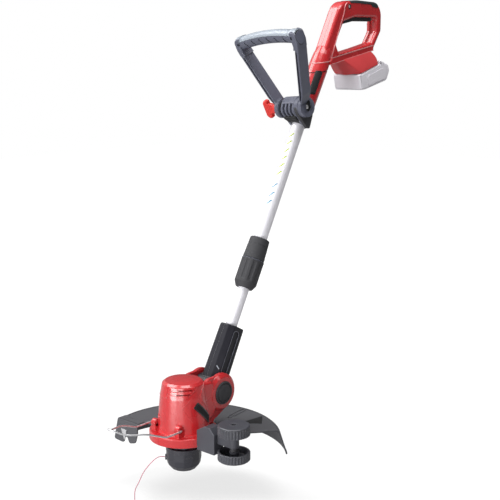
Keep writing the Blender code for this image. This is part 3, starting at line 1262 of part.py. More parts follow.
def make_trigger_group():
    """Trigger with its moulded pins, lock-off button, switch and the battery terminals."""
    trigger = plate("trigger", [rounded(TRIGGER_OUTLINE)], -TRIGGER_HALF, TRIGGER_HALF, ROOT, RUBBER)
    soften(trigger, TRIGGER_EDGE, 1)
    pin_at = (0, TRIGGER_PIN_Y, TRIGGER_PIN_Z)
    reach = HOUSING_HALF - WALL - GAP
    fuse(trigger, cylinder("trigger_pins", TRIGGER_PIN_R, -reach, reach, ROOT, axis=TO_X, at=pin_at,
                           sides=SMALL_ROUND))
    face = HOUSING_HALF + LOCK_OFF_PROUD
    lip_r = LOCK_OFF_R + LOCK_OFF_LIP
    lip_foot = reach - LOCK_OFF_LIP_THICK
    button = ((0, face), (LOCK_OFF_R - LOCK_OFF_EDGE, face), (LOCK_OFF_R, face - LOCK_OFF_EDGE), (LOCK_OFF_R, reach),
              (lip_r, reach), (lip_r, lip_foot), (0, lip_foot))
    lock_off = turned("lock_off_button", button, ROOT, RUBBER, (0, LOCK_OFF_Y, LOCK_OFF_Z), steps=SMALL_ROUND)
    lock_off.rotation_euler = (0, math.radians(-90), 0)
    box("switch_module", (-reach, *SWITCH_LOW), (reach, *SWITCH_HIGH), ROOT, BLACK)
    box("terminal_block", (TERMINAL_SIDE - RAIL_HALF, *TERMINAL_LOW),
        (RAIL_HALF - TERMINAL_SIDE, TERMINAL_BACK, RAIL_HEIGHT), RAIL, BLACK)


def make_battery():
    """Slide-on pack: lower and upper case, cells and the latch button on its rear shoulder."""
    outline = [(y, z, radius) for y, z, radius in PACK_OUTLINE]
    for name, low, high in (("battery_case_upper", PACK_SPLIT + GAP / 2, FAR),
                            ("battery_case_lower", -FAR, PACK_SPLIT - GAP / 2)):
        case = soften(plate(name, [rounded(outline, 3)], -PACK_HALF, PACK_HALF, RAIL, PALE), PACK_EDGE, 2, 60)
        rail = box(name + "_rail", (-RAIL_HALF, PACK_RAIL_START, -PACK_RAIL_SINK),
                   (RAIL_HALF, PACK_RAIL_END, RAIL_HEIGHT - GAP), RAIL)
        fuse(case, soften(rail, RAIL_EDGE))
        cells = box(name + "_cells", (-BAY_HALF, BAY_START, PACK_SPLIT - BAY_DEEP),
                    (BAY_HALF, BAY_END, PACK_SPLIT + BAY_RISE), RAIL)
        cut(case, cells)
        keep(case, box(name + "_side", (-FAR, -FAR, low), (FAR, FAR, high), RAIL))
        if high > 0:
            cut(case, box(name + "_latch_seat", (-LATCH_HALF - GAP, -LATCH_RUN / 2 - GAP - LATCH_TRAVEL, -LATCH_DEEP),
                          (LATCH_HALF + GAP, LATCH_RUN / 2 + GAP, FAR), LATCH))
    latch = box("battery_latch", (-LATCH_HALF, -LATCH_RUN / 2, -LATCH_DEEP + GAP), (LATCH_HALF, LATCH_RUN / 2, LATCH_PROUD),
                LATCH, BLACK)
    soften(latch, LATCH_EDGE)
    cells = None
    for i in range(CELL_COUNT):
        x = (i - (CELL_COUNT - 1) / 2) * (2 * CELL_R + CELL_GAP)
        cell = cylinder("battery_cells" if i == 0 else f"cell_{i}", CELL_R, CELL_START, CELL_END, RAIL,
                        COPPER if i == 0 else None, axis=TO_Y, at=(x, 0, PACK_SPLIT - CELL_DROP), sides=SMALL_ROUND)
        if cells is None:
            cells = cell
        else:
            fuse(cells, cell)
    for i, (start, stop) in enumerate(HOLDER_SPANS):
        fuse(cells, box(f"cell_holder_{i}", (-HOLDER_HALF, start, PACK_SPLIT - BAY_DEEP + HOLDER_SHORT),
                        (HOLDER_HALF, stop, PACK_SPLIT + BAY_RISE - HOLDER_SHORT), RAIL))


def sleeve_patch(name, profile, thick, parent, material, zone, at=(0, 0, 0)):
    """A thin plate that follows a turned surface, cut to a zone."""
    outer = [(radius + GAP + thick, height) for radius, height in profile]
    inner = [(radius + GAP, height) for radius, height in reversed(profile)]
    patch = turned(name, outer + inner, parent, material, at, steps=BADGE_STEPS, bored=True)
    keep(patch, zone)
    return patch


def make_badges():
    """Two bare badge plates, on the tube socket and on the motor housing."""
    profile = ((SOCKET_SEAM_R, SOCKET_SEAM + SOCKET_LAP), (SOCKET_FOOT_R, SOCKET_FOOT))
    zone = box("socket_badge_zone", (0, -SOCKET_BADGE_HALF, SOCKET_BADGE_FOOT),
               (FAR, SOCKET_BADGE_HALF, SOCKET_BADGE_TOP), SHAFT, turn=(0, 0, SOCKET_BADGE_TURN))
    sleeve_patch("socket_badge", profile, BADGE_THICK, SHAFT, BLACK, zone, (0, SOCKET_SHIFT, 0))
    zone = box("head_badge_zone", (0, -HEAD_BADGE_REACH, -HEAD_BADGE_HALF),
               (FAR, HEAD_BADGE_REACH, HEAD_BADGE_HALF), MOTOR, turn=(HEAD_BADGE_TILT, 0, 0),
               at=(0, HEAD_BADGE_BACK, HEAD_BADGE_Z))
    sleeve_patch("head_badge", HEAD_PROFILE[1:4], BADGE_THICK, MOTOR, BLACK, zone)


make_tubes()
make_telescope_lock()
make_neck()
make_motor_housing()
make_motor()
make_pivot_button()
make_guard()
make_wire_guard()
make_wheels()
make_spool()
make_front_handle_hub()
make_front_handle()
make_rear_housing()
make_grip_overmould()
make_trigger_group()
make_battery()
make_badges()

for piece in parts.objects:
    piece.data.shade_smooth()
    piece.data.set_sharp_from_angle(angle=math.radians(35))
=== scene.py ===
"""Looks of a cordless string trimmer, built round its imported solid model.

Metres, +Z up. The origin is the middle of the rear grip, -Y is the cutting head's
side, +X the user's left. Every piece is made in place and rides on a solid body.
"""
import math

import bmesh
import bpy
from bpy.props import FloatProperty, FloatVectorProperty, IntProperty, PointerProperty
from mathutils import Matrix, Vector


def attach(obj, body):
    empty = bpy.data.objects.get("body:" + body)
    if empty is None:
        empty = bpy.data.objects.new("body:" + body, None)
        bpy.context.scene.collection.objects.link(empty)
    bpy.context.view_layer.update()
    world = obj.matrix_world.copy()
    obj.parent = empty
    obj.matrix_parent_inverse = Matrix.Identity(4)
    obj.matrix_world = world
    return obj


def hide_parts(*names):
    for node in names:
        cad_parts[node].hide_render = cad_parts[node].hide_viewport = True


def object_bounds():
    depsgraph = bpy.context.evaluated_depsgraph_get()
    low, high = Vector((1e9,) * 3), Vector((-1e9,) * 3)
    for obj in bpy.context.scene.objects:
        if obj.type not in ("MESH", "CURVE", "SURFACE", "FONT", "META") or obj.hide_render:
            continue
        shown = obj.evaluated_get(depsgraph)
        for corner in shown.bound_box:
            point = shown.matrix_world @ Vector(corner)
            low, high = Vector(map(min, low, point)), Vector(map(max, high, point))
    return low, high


bl_info = {
    "name": "String Trimmer",
    "version": (1, 0, 0),
    "blender": (4, 5, 0),
    "location": "3D View > Sidebar > Trimmer",
    "description": "Builds the looks of a cordless string trimmer round its solid model",
    "category": "Object",
}

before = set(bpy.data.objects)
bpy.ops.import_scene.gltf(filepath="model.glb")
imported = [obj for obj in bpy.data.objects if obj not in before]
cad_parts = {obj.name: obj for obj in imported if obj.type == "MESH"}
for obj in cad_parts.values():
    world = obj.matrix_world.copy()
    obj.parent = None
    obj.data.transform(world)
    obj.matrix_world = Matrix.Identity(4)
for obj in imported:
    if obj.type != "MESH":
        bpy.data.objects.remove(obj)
SOLID_BOX = [list(corner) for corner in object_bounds()]


# The trimmer's own frames, as in the solid model


def turn(degrees, axis):
    """A turn about an axis through the origin."""
    return Matrix.Rotation(math.radians(degrees), 4, axis)


def move(x, y, z):
    """A shift."""
    return Matrix.Translation((x, y, z))


SHAFT_LEAN = 28.35
GRIP_ALONG = 0.8915
GRIP_BEHIND = 0.0644
ALONG = Vector((0, math.sin(math.radians(SHAFT_LEAN)), math.cos(math.radians(SHAFT_LEAN))))
BEHIND = Vector((0, ALONG.z, -ALONG.y))
PIVOT = -(ALONG * GRIP_ALONG + BEHIND * GRIP_BEHIND)
ROOT = Matrix.Identity(4)
SHAFT = Matrix.Translation(PIVOT) @ turn(-SHAFT_LEAN, "X")
HEAD = Matrix.Translation(PIVOT)
MOTOR = HEAD @ move(0, -0.075, 0)
HUB = SHAFT @ move(0, 0, 0.608) @ turn(-8.5, "Z")
LOOP_AXIS = -0.0264
LOOP = HUB @ move(0, LOOP_AXIS, 0) @ turn(52.8, "X")
RAIL_START = Vector((0, -0.03, -0.137))
RAIL_LEAN = 16.6
RAIL = Matrix.Translation(RAIL_START) @ turn(RAIL_LEAN, "X")
LATCH = RAIL @ move(0, 0.0915, -0.003) @ turn(-33.69, "X")
LUG = HEAD @ move(0, -0.119, -0.045)
VISOR = HEAD @ move(0.005, -0.055, 0)
VISOR_TOP = -0.078
WHEELS = HEAD @ move(0.14, -0.082, 0)
LINE_HEADING = 221.5
LINE_HEIGHT = -0.121
EYELET = MOTOR @ turn(LINE_HEADING, "Z") @ move(0, 0, LINE_HEIGHT) @ turn(90, "Y")

# Views that lay an outline on the YZ or the XZ plane, or a lathe's axis along X
SIDE_ON = Matrix(((0, 0, 1, 0), (1, 0, 0, 0), (0, 1, 0, 0), (0, 0, 0, 1)))
FACE_ON = Matrix(((1, 0, 0, 0), (0, 0, -1, 0), (0, 1, 0, 0), (0, 0, 0, 1)))
TO_X = turn(90, "Y")

# A hair's breadth either side of the mid-plane, and a reach beyond any piece
HAIR = 0.00015
FAR = 0.5

# Radii and places that more than one piece goes by
UPPER_TUBE_R = 0.014
LOWER_TUBE_R = 0.012
TUBE_WALL = 0.001
UPPER_BORE_R = 0.0143
LOWER_BORE_R = 0.0123
LOCK_OFF = move(0, -0.0645, 0.0025)
HOUSING_SCREWS = ((-0.0505, 0.0045, 1), (0.064, -0.03, -1), (-0.113, -0.086, -1))
HUB_SCREW_X = 0.0195
NECK_SCREW = (0.0145, 0.105)
MOTOR_SCREWS = ((-0.045, -0.05), (-0.117, -0.03))

# The photograph's view. Each lamp: its name, metres right of AIM, up and towards the camera, width, watts
AIM = Vector((0, -0.35871, -0.48899))
TO_CAMERA = Vector((0.65044, -0.7352, 0.19081)).normalized()
TO_RIGHT = Vector((0.749, 0.6626, 0)).normalized()
CAMERA_DISTANCE = 2.04
LENS = 72
LAMPS = (("key_lamp", -1.44, 1.93, -0.38, 1.6, 48), ("front_lamp", -1.35, -0.25, 1.5, 1.0, 34),
         ("top_lamp", 0.3, 2.3, 0.45, 1.4, 36), ("side_lamp", 1.25, 2.0, 0.5, 0.9, 6),
         ("fill_lamp", -0.45, -0.25, 2.25, 1.0, 18))
WORLD_LIGHT = 0.23
WORLD_BRIGHT_SIDE = (-0.55, -0.8, 0.22)
FLOOR_HALF = 6.0
FLOOR_GAP = 0.0004


# Sizes and colours that a user would change


def tint(name, text, rgb):
    return FloatVectorProperty(name=name, description=text, subtype="COLOR", size=3, min=0.0,
                               max=1.0, default=rgb)


def length(name, text, value):
    return FloatProperty(name=name, description=text, subtype="DISTANCE", unit="LENGTH", min=0.0,
                         default=value, precision=5)


class TrimmerColours(bpy.types.PropertyGroup):
    """Colours of the trimmer's finishes"""
    red: tint("Housing red", "Glossy red of the rear handle and motor housing", (0.5, 0.018, 0.022))
    black: tint("Black plastic", "Neck, collar, hub, sleeve and spool", (0.014, 0.014, 0.023))
    guard: tint("Guard grey", "Guard", (0.02, 0.02, 0.025))
    wheel: tint("Wheel grey", "Edging wheels and their bracket", (0.05, 0.051, 0.062))
    grey: tint("Handle grey", "Arms and lower shell of the front handle", (0.1, 0.105, 0.142))
    shell: tint("Handle top", "Pale upper shell of the front handle", (0.29, 0.325, 0.37))
    rubber: tint("Soft grip", "Grip band and trigger", (0.016, 0.022, 0.024))
    knob: tint("Knob red", "Wing knob of the front handle", (0.68, 0.035, 0.026))
    tube: tint("Tube metal", "Anodised tubes", (0.86, 0.85, 0.9))
    steel: tint("Bright steel", "Screws, bolt and wire guard", (0.66, 0.66, 0.68))
    pack: tint("Battery grey", "Battery case", (0.77, 0.75, 0.8))
    line: tint("Cutting line", "Nylon line", (0.5, 0.13, 0.19))
    copper: tint("Copper", "Cells", (0.72, 0.36, 0.2))


class TrimmerSizes(bpy.types.PropertyGroup):
    """Sizes of the trimmer's visible details"""
    grain: length("Grain", "Size of the moulded plastic's fine grain", 0.0007)
    soft_edge: length("Edge radius", "Radius that softens every moulded edge", 0.0005)
    rib_count: IntProperty(name="Wheel ribs", description="Ribs round each edging wheel", default=32,
                           min=8, max=80)
    rib_proud: length("Rib height", "How far a wheel rib stands proud", 0.0012)
    flutes: IntProperty(name="Sleeve flutes", description="Flutes round the lock sleeve", default=10,
                        min=4, max=24)
    flute_depth: length("Flute depth", "Depth of a flute of the lock sleeve", 0.0018)
    grooves: IntProperty(name="Finger grooves", description="Slanted grooves under the front grip",
                         default=6, min=2, max=12)
    groove_width: length("Groove width", "Width of a finger groove", 0.0032)
    line_radius: length("Line radius", "Radius of the cutting line", 0.0008)
    shell_half: length("Handle half width", "Half the width of the rear handle's grip", 0.0152)


def colours():
    """The colours that the user has set."""
    return bpy.context.scene.trimmer_colours


def sizes():
    """The sizes that the user has set."""
    return bpy.context.scene.trimmer_sizes


# Node helpers


def feed(tree, node, inputs):
    """Gives a node's inputs their values, linked where a value is a socket."""
    for key, value in inputs.items():
        if isinstance(value, bpy.types.NodeSocket):
            tree.links.new(value, node.inputs[key])
        else:
            node.inputs[key].default_value = value


def add_node(tree, kind, inputs=None, **settings):
    """A node with its settings and the values of its inputs."""
    node = tree.nodes.new(kind)
    for key, value in settings.items():
        setattr(node, key, value)
    feed(tree, node, inputs or {})
    return node


def new_group(name, kind, inputs, outputs):
    """A node group with named inputs and outputs."""
    tree = bpy.data.node_groups.new(name, kind)
    for label, socket, value in inputs:
        made = tree.interface.new_socket(label, in_out="INPUT", socket_type="NodeSocket" + socket)
        if value is not None:
            made.default_value = value
    for label, socket in outputs:
        tree.interface.new_socket(label, in_out="OUTPUT", socket_type="NodeSocket" + socket)
    return tree, tree.nodes.new("NodeGroupInput"), tree.nodes.new("NodeGroupOutput")


def kept_group(name, build):
    """The node group of that name, built once."""
    return bpy.data.node_groups.get(name) or build(name)


def use_group(tree, name, build, inputs):
    """A node that runs the group of that name."""
    return add_node(tree, "ShaderNodeGroup", inputs, node_tree=kept_group(name, build))


def arithmetic(tree, operation, first, second, **settings):
    """The result of a Math node on two values."""
    return add_node(tree, "ShaderNodeMath", {0: first, 1: second}, operation=operation,
                    **settings).outputs[0]


def measured(tree, operation, first, second):
    """The number that a Vector Math node makes of two vectors."""
    return add_node(tree, "ShaderNodeVectorMath", {0: first, 1: second},
                    operation=operation).outputs["Value"]


def mixed_colour(tree, factor, first, second):
    """The colour that a Mix node makes of two."""
    return add_node(tree, "ShaderNodeMix", {0: factor, 6: first, 7: second}, data_type="RGBA").outputs[2]


def remapped(tree, value, low, high, to_low=0.0, to_high=1.0, **settings):
    """A value carried from one range over to another, and kept inside it."""
    ends = {"From Min": low, "From Max": high, "To Min": to_low, "To Max": to_high}
    return add_node(tree, "ShaderNodeMapRange", {"Value": value, **ends}, **settings).outputs["Result"]


def noise(tree, place, scale, detail):
    """The values of a noise texture."""
    made = add_node(tree, "ShaderNodeTexNoise", {"Vector": place, "Scale": scale, "Detail": detail})
    return made.outputs["Fac"]


def object_place(tree):
    """Coordinates in the object's own space."""
    return add_node(tree, "ShaderNodeTexCoord").outputs["Object"]


# Shader groups


def build_grain(name):
    """Fine moulded grain: its height, and the soft patches where it is duller."""
    tree, source, sink = new_group(
        name, "ShaderNodeTree",
        [("Grain Size", "Float", 0.0007), ("Patch Size", "Float", 0.05)],
        [("Height", "Float"), ("Patches", "Float")])
    place = object_place(tree)
    fine = arithmetic(tree, "DIVIDE", 1.0, source.outputs["Grain Size"])
    coarse = arithmetic(tree, "DIVIDE", 1.0, source.outputs["Patch Size"])
    grain = noise(tree, place, fine, 2.0)
    cells = add_node(tree, "ShaderNodeTexVoronoi", {"Vector": place, "Scale": fine}, feature="SMOOTH_F1")
    height = arithmetic(tree, "ADD", grain, cells.outputs["Distance"])
    feed(tree, sink, {"Height": height, "Patches": noise(tree, place, coarse, 3.0)})
    return tree


def build_wear_and_edge_highlight(name):
    """Use on a moulded part: paler edges, partly wear and partly painted edge highlight, fine scratches and
    a little dust in its colour and roughness.
    """
    tree, source, sink = new_group(
        name, "ShaderNodeTree",
        [("Colour", "Color", (0.5, 0.5, 0.5, 1)), ("Roughness", "Float", 0.4),
         ("Patches", "Float", 0.5), ("Soft Normal", "Vector", None),
         ("Edge Wear And Highlight", "Float", 0.2), ("Scratches", "Float", 0.2)],
        [("Colour", "Color"), ("Roughness", "Float")])
    out = source.outputs
    place = object_place(tree)
    normal = add_node(tree, "ShaderNodeNewGeometry").outputs["Normal"]
    edge = remapped(tree, measured(tree, "DOT_PRODUCT", out["Soft Normal"], normal), 0.995, 0.9)
    edge_wear_and_highlight = arithmetic(tree, "MULTIPLY", edge, out["Edge Wear And Highlight"])
    turned = add_node(tree, "ShaderNodeMapping", {"Vector": place, "Rotation": (0.5, 0.9, 0.3),
                                                  "Scale": (30.0, 900.0, 120.0)})
    fine = remapped(tree, noise(tree, turned.outputs[0], 1.0, 1.0), 0.66, 0.74)
    scratch = arithmetic(tree, "MULTIPLY", fine, out["Scratches"])
    shade = remapped(tree, out["Patches"], 0.3, 0.7, 0.94, 1.05)
    toned = add_node(tree, "ShaderNodeVectorMath", {0: out["Colour"], "Scale": shade}, operation="SCALE")
    # Pale edges: partly wear, partly a painted edge highlight.
    pale = mixed_colour(tree, 0.45, out["Colour"], (0.9, 0.9, 0.9, 1))
    edge_worn_and_highlighted = mixed_colour(tree, edge_wear_and_highlight, toned.outputs[0], pale)
    rougher = arithmetic(tree, "ADD", remapped(tree, out["Patches"], 0.3, 0.7, -0.05, 0.06), scratch)
    total = arithmetic(tree, "ADD", rougher, out["Roughness"], use_clamp=True)
    feed(tree, sink, {"Colour": edge_worn_and_highlighted, "Roughness": total})
    return tree


def build_drawn(name):
    """Fine lines of drawn and anodised metal along the shaft."""
    tree, source, sink = new_group(
        name, "ShaderNodeTree",
        [("Roughness", "Float", 0.3), ("Spread", "Float", 0.12)],
        [("Height", "Float"), ("Roughness", "Float")])
    place = object_place(tree)
    lean = add_node(tree, "ShaderNodeMapping", {"Vector": place,
                                                "Rotation": (math.radians(SHAFT_LEAN), 0, 0)})
    drawn = add_node(tree, "ShaderNodeMapping", {"Vector": lean.outputs[0], "Scale": (1400.0, 1400.0, 22.0)})
    lines = noise(tree, drawn.outputs[0], 1.0, 2.0)
    both = arithmetic(tree, "ADD", lines, noise(tree, place, 24.0, 3.0))
    spread = remapped(tree, both, 0.7, 1.3, 0.0, source.outputs["Spread"])
    rough = arithmetic(tree, "ADD", source.outputs["Roughness"], spread)
    feed(tree, sink, {"Height": lines, "Roughness": rough})
    return tree


# Materials


def new_material(name):
    """A material with its tree and shader, or the one of that name, which needs nothing more."""
    material = bpy.data.materials.get(name)
    if material:
        return material, None, None
    material = bpy.data.materials.new(name)
    material.use_nodes = True
    tree = material.node_tree
    return material, tree, tree.nodes["Principled BSDF"]


def bumped(tree, height, depth, soft_edge):
    """Normals of a softened edge with a fine relief."""
    soft = add_node(tree, "ShaderNodeBevel", {"Radius": soft_edge}, samples=4).outputs[0]
    relief = {"Height": height, "Distance": depth, "Strength": 1.0, "Normal": soft}
    return soft, add_node(tree, "ShaderNodeBump", relief).outputs[0]


def moulded(name, rgb, roughness, depth=2e-5, lift=0.15, scratches=0.15, coat=0.0, grain=None, gloss=0.4):
    """A moulded plastic: grain, paler edges that are partly wear and partly painted highlight, scratches and
    softened edges.
    """
    material, tree, shader = new_material(name)
    if tree is None:
        return material
    fine = use_group(tree, "moulded_grain", build_grain, {"Grain Size": grain or sizes().grain})
    soft, relief = bumped(tree, fine.outputs["Height"], depth, sizes().soft_edge)
    # lift sets how pale the edges go: partly wear, partly painted edge highlight.
    worn = use_group(tree, "use_and_wear", build_wear_and_edge_highlight, {
        "Colour": (*rgb, 1.0), "Roughness": roughness, "Patches": fine.outputs["Patches"],
        "Soft Normal": soft, "Edge Wear And Highlight": lift, "Scratches": scratches})
    feed(tree, shader, {"Base Color": worn.outputs["Colour"], "Roughness": worn.outputs["Roughness"],
                        "Normal": relief, "IOR": 1.5, "Specular IOR Level": gloss, "Coat Weight": coat,
                        "Coat Roughness": 0.08})
    return material


def metal(name, rgb, roughness, spread, depth=4e-6, metallic=1.0):
    """A drawn or plated metal with fine lines."""
    material, tree, shader = new_material(name)
    if tree is None:
        return material
    lines = use_group(tree, "drawn_lines", build_drawn, {"Roughness": roughness, "Spread": spread})
    _, relief = bumped(tree, lines.outputs["Height"], depth, 0.0003)
    tone = noise(tree, object_place(tree), 30.0, 2.0)
    mixed = mixed_colour(tree, tone, (*mixed_with(rgb, 0.94), 1.0), (*rgb, 1.0))
    feed(tree, shader, {"Base Color": mixed, "Roughness": lines.outputs["Roughness"], "Normal": relief,
                        "Metallic": metallic})
    return material


def mixed_with(rgb, share, lift=0.0):
    """A colour scaled by a share, then lifted."""
    return tuple(c * share + lift for c in rgb)


def red():
    return moulded("gloss_red", colours().red, 0.26, depth=6e-7, coat=0.45, lift=0.1,
                   scratches=0.03, gloss=0.5)


# Paler copy of the housing red for thin ridges and strips; it paints their highlight.
def painted_highlight_red():
    return moulded("gloss_red_edge", mixed_with(colours().red, 0.8, 0.2), 0.3, depth=6e-7, coat=0.45,
                   lift=0.0, scratches=0.0, gloss=0.5)


# Rougher copy of the housing red for the battery foot; its paler colour paints light and sheen on the foot.
def satin_red():
    return moulded("satin_red", mixed_with(colours().red, 1.12, 0.035), 0.42, depth=4e-6, lift=0.1,
                   scratches=0.0, gloss=0.25)


def black():
    return moulded("black_plastic", colours().black, 0.28, depth=8e-6, lift=0.4, coat=0.25, gloss=0.5)


# Darker, duller copy of the black; its strong edge lift paints pale edge highlights on the neck.
def neck_black():
    return moulded("neck_plastic", mixed_with(colours().black, 0.6), 0.4, depth=1.2e-5, lift=0.5, gloss=0.34)


def spool_black():
    return moulded("spool_plastic", mixed_with(colours().black, 0.9, 0.018), 0.34, depth=1.8e-5, lift=0.3)


def guard_grey():
    return moulded("guard_plastic", colours().guard, 0.36, depth=1.2e-5, lift=0.35,
                   scratches=0.1, gloss=0.32)


def wheel_grey():
    return moulded("wheel_plastic", colours().wheel, 0.4, lift=0.3)


def button_orange():
    return moulded("gauge_button", (0.62, 0.26, 0.17), 0.4)


def print_green():
    return moulded("green_print", (0.38, 0.5, 0.03), 0.5, lift=0.0)


def print_blue():
    return moulded("blue_print", (0.1, 0.26, 0.38), 0.5, lift=0.0)


def handle_grey():
    return moulded("handle_plastic", colours().grey, 0.38, depth=1.6e-5, lift=0.22)


def pale_shell():
    return moulded("handle_top_plastic", colours().shell, 0.3, depth=4e-6, lift=0.1, scratches=0.0)


def soft_rubber():
    return moulded("soft_rubber", colours().rubber, 0.62, depth=5e-5, lift=0.1, grain=0.0009)


def knob_red():
    return moulded("knob_red_plastic", colours().knob, 0.38, depth=1.2e-5, lift=0.14)


def pack_grey():
    return moulded("pack_plastic", colours().pack, 0.44, lift=0.2)


def pack_panel():
    return moulded("pack_panel_plastic", mixed_with(colours().pack, 1.06), 0.34, depth=8e-6)


# Near-black: mostly painted shade in grooves, cups, holes, behind slots and between parts; also the dark
# joint and the badge fields.
def deep_black():
    return moulded("deep_recess", (0.004, 0.004, 0.005), 0.7, lift=0.0, scratches=0.0)


def badge_black():
    return moulded("badge_black", (0.01, 0.011, 0.012), 0.3, depth=4e-6, coat=0.3, lift=0.3)


def tube_metal():
    return metal("anodised_tube", colours().tube, 0.32, 0.1, metallic=0.35)


def steel():
    return metal("bright_steel", colours().steel, 0.2, 0.12)


def zinc():
    return metal("screw_zinc", (0.8, 0.79, 0.76), 0.3, 0.1, metallic=0.5)


def copper():
    return metal("cell_copper", colours().copper, 0.3, 0.1)


def nylon():
    return moulded("nylon_line", colours().line, 0.35, depth=8e-6, lift=0.0, scratches=0.1)


# Outline and mesh helpers


def corner_arc(before, corner, after, radius, count):
    """Points of the arc that rounds a corner."""
    if radius <= 0:
        return [corner]
    to_before = (before - corner).normalized()
    to_after = (after - corner).normalized()
    half = to_before.angle(to_after) / 2
    if half > math.radians(89):
        return [corner]
    reach = min(radius / math.tan(half), (before - corner).length * 0.49, (after - corner).length * 0.49)
    radius = reach * math.tan(half)
    centre = corner + (to_before + to_after).normalized() * radius / math.sin(half)
    first = corner + to_before * reach - centre
    last = corner + to_after * reach - centre
    sweep = first.angle_signed(last)
    return [centre + Matrix.Rotation(-sweep * i / count, 2) @ first for i in range(count + 1)]


def rounded(corners, count=6, closed=True):
    """An outline with its (a, b, radius) corners rounded."""
    points = []
    total = len(corners)
    for i, corner in enumerate(corners):
        place = Vector(corner[:2])
        radius = corner[2] if len(corner) > 2 else 0.0
        if not closed and i in (0, total - 1):
            points.append(place)
            continue
        before = Vector(corners[i - 1][:2])
        after = Vector(corners[(i + 1) % total][:2])
        points += corner_arc(before, place, after, radius, count)
    kept = [p for i, p in enumerate(points) if i == 0 or (p - points[i - 1]).length > 1e-7]
    if closed and (kept[0] - kept[-1]).length < 1e-7:
        kept.pop()
    return kept


def rectangle(a0, b0, a1, b1, radius=0.0):
    """The corners of an upright rectangle, all with one radius."""
    return [(a0, b0, radius), (a1, b0, radius), (a1, b1, radius), (a0, b1, radius)]


def around(reach, angle, height=0.0):
    """The point at a reach and an angle round the Z axis."""
    return Vector((reach * math.cos(angle), reach * math.sin(angle), height))


def inset(points, distance):
    """The outline moved into its own area by the distance."""
    total = len(points)
    area = sum(points[i - 1].x * points[i].y - points[i].x * points[i - 1].y for i in range(total))
    side = 1 if area > 0 else -1
    moved = []
    for i, point in enumerate(points):
        back = (point - points[i - 1]).normalized()
        ahead = (points[(i + 1) % total] - point).normalized()
        normal = Vector((-(back.y + ahead.y), back.x + ahead.x)).normalized() * side
        reach = normal.dot(Vector((-ahead.y, ahead.x))) * side
        moved.append(point + normal * distance / max(0.4, reach))
    return moved


def closed_mesh(bm, place):
    """A mesh in its place, its faces outwards."""
    bm.transform(place)
    bmesh.ops.remove_doubles(bm, verts=bm.verts, dist=1e-7)
    bmesh.ops.recalc_face_normals(bm, faces=bm.faces)
    if bm.calc_volume(signed=True) < 0:
        bmesh.ops.reverse_faces(bm, faces=bm.faces)
    mesh = bpy.data.meshes.new("form")
    bm.to_mesh(mesh)
    bm.free()
    return mesh


def bridge(bm, first, second):
    """Faces between two closed rings of as many points."""
    count = len(first)
    for i in range(count):
        j = (i + 1) % count
        bm.faces.new((first[i], first[j], second[j], second[i]))


def prism(outlines, low, high, place=ROOT, view=SIDE_ON, edge=0.0008, steps=4):
    """A plate from its outline and any holes, between two depths, with rounded edges."""
    bm = bmesh.new()
    quarter = [math.pi / 2 * i / steps for i in range(steps + 1)]
    levels = [(low + edge * (1 - math.cos(a)), edge * (1 - math.sin(a))) for a in quarter]
    levels += [(high - edge * (1 - math.cos(a)), edge * (1 - math.sin(a))) for a in reversed(quarter)]
    ends = ([], [])
    for number, outline in enumerate(outlines):
        sign = 1 if number == 0 else -1
        rings = []
        for height, shrink in levels:
            rings.append([bm.verts.new((p.x, p.y, height)) for p in inset(outline, sign * shrink)])
        for first, second in zip(rings, rings[1:]):
            bridge(bm, first, second)
        for end, ring in zip(ends, (rings[0], rings[-1])):
            end.extend(bm.edges.get((ring[i - 1], ring[i])) for i in range(len(ring)))
    for end in ends:
        bmesh.ops.triangle_fill(bm, use_beauty=True, edges=end)
    return closed_mesh(bm, place @ view)


def plate(corners, fine, low, high, *rest, **settings):
    """A prism from the outline of its (a, b, radius) corners."""
    return prism([rounded(corners, fine)], low, high, *rest, **settings)


def block(low, high, place=ROOT, edge=0.001, corner=None):
    """A block between two corners, all its edges rounded."""
    (*start, bottom), (*end, top) = low, high
    corners = rectangle(*start, *end, edge if corner is None else corner)
    return plate(corners, 5, bottom, top, place, ROOT, edge)


def lathe(profile, place=ROOT, steps=96, bored=False, wave=None):
    """A turned form from (radius, height, rounding) points down its outer side."""
    outline = rounded(profile, 4, bored)
    bm = bmesh.new()
    rings = []
    for radius, height in outline:
        if radius < 1e-6:
            rings.append([bm.verts.new((0, 0, height))])
            continue
        ring = []
        for i in range(steps):
            angle = 2 * math.pi * i / steps
            reach = wave(angle, radius, height) if wave else radius
            ring.append(bm.verts.new(around(reach, angle, height)))
        rings.append(ring)
    pairs = list(zip(rings, rings[1:]))
    if bored:
        pairs.append((rings[-1], rings[0]))
    for first, second in pairs:
        if len(first) == 1 and len(second) == 1:
            continue
        for i in range(steps):
            j = (i + 1) % steps
            if len(first) == 1:
                bm.faces.new((first[0], second[j], second[i]))
            elif len(second) == 1:
                bm.faces.new((first[i], first[j], second[0]))
            else:
                bm.faces.new((first[i], first[j], second[j], second[i]))
    return closed_mesh(bm, place)


def rod(radius, high, low, place, steps=64):
    """A round bar with sharp ends between two heights."""
    return lathe([(0, high), (radius, high), (radius, low), (0, low)], place, steps)


def span(side, near, far):
    """The lower and higher X of a form on one side of the mid-plane."""
    return sorted((side * near, side * far))


def loft(rings, place=ROOT):
    """A closed form through rings of as many points."""
    bm = bmesh.new()
    loops = [[bm.verts.new(point) for point in ring] for ring in rings]
    for first, second in zip(loops, loops[1:]):
        bridge(bm, first, second)
    bm.faces.new(loops[0])
    bm.faces.new(list(reversed(loops[-1])))
    return closed_mesh(bm, place)


def sector(section, start, end, place=ROOT, steps=48):
    """A bar whose (radius, height) section is swept round the axis between two headings."""
    rings = []
    for i in range(steps + 1):
        angle = math.radians(start + (end - start) * i / steps)
        rings.append([around(r, angle, z) for r, z in section])
    return loft(rings, place)


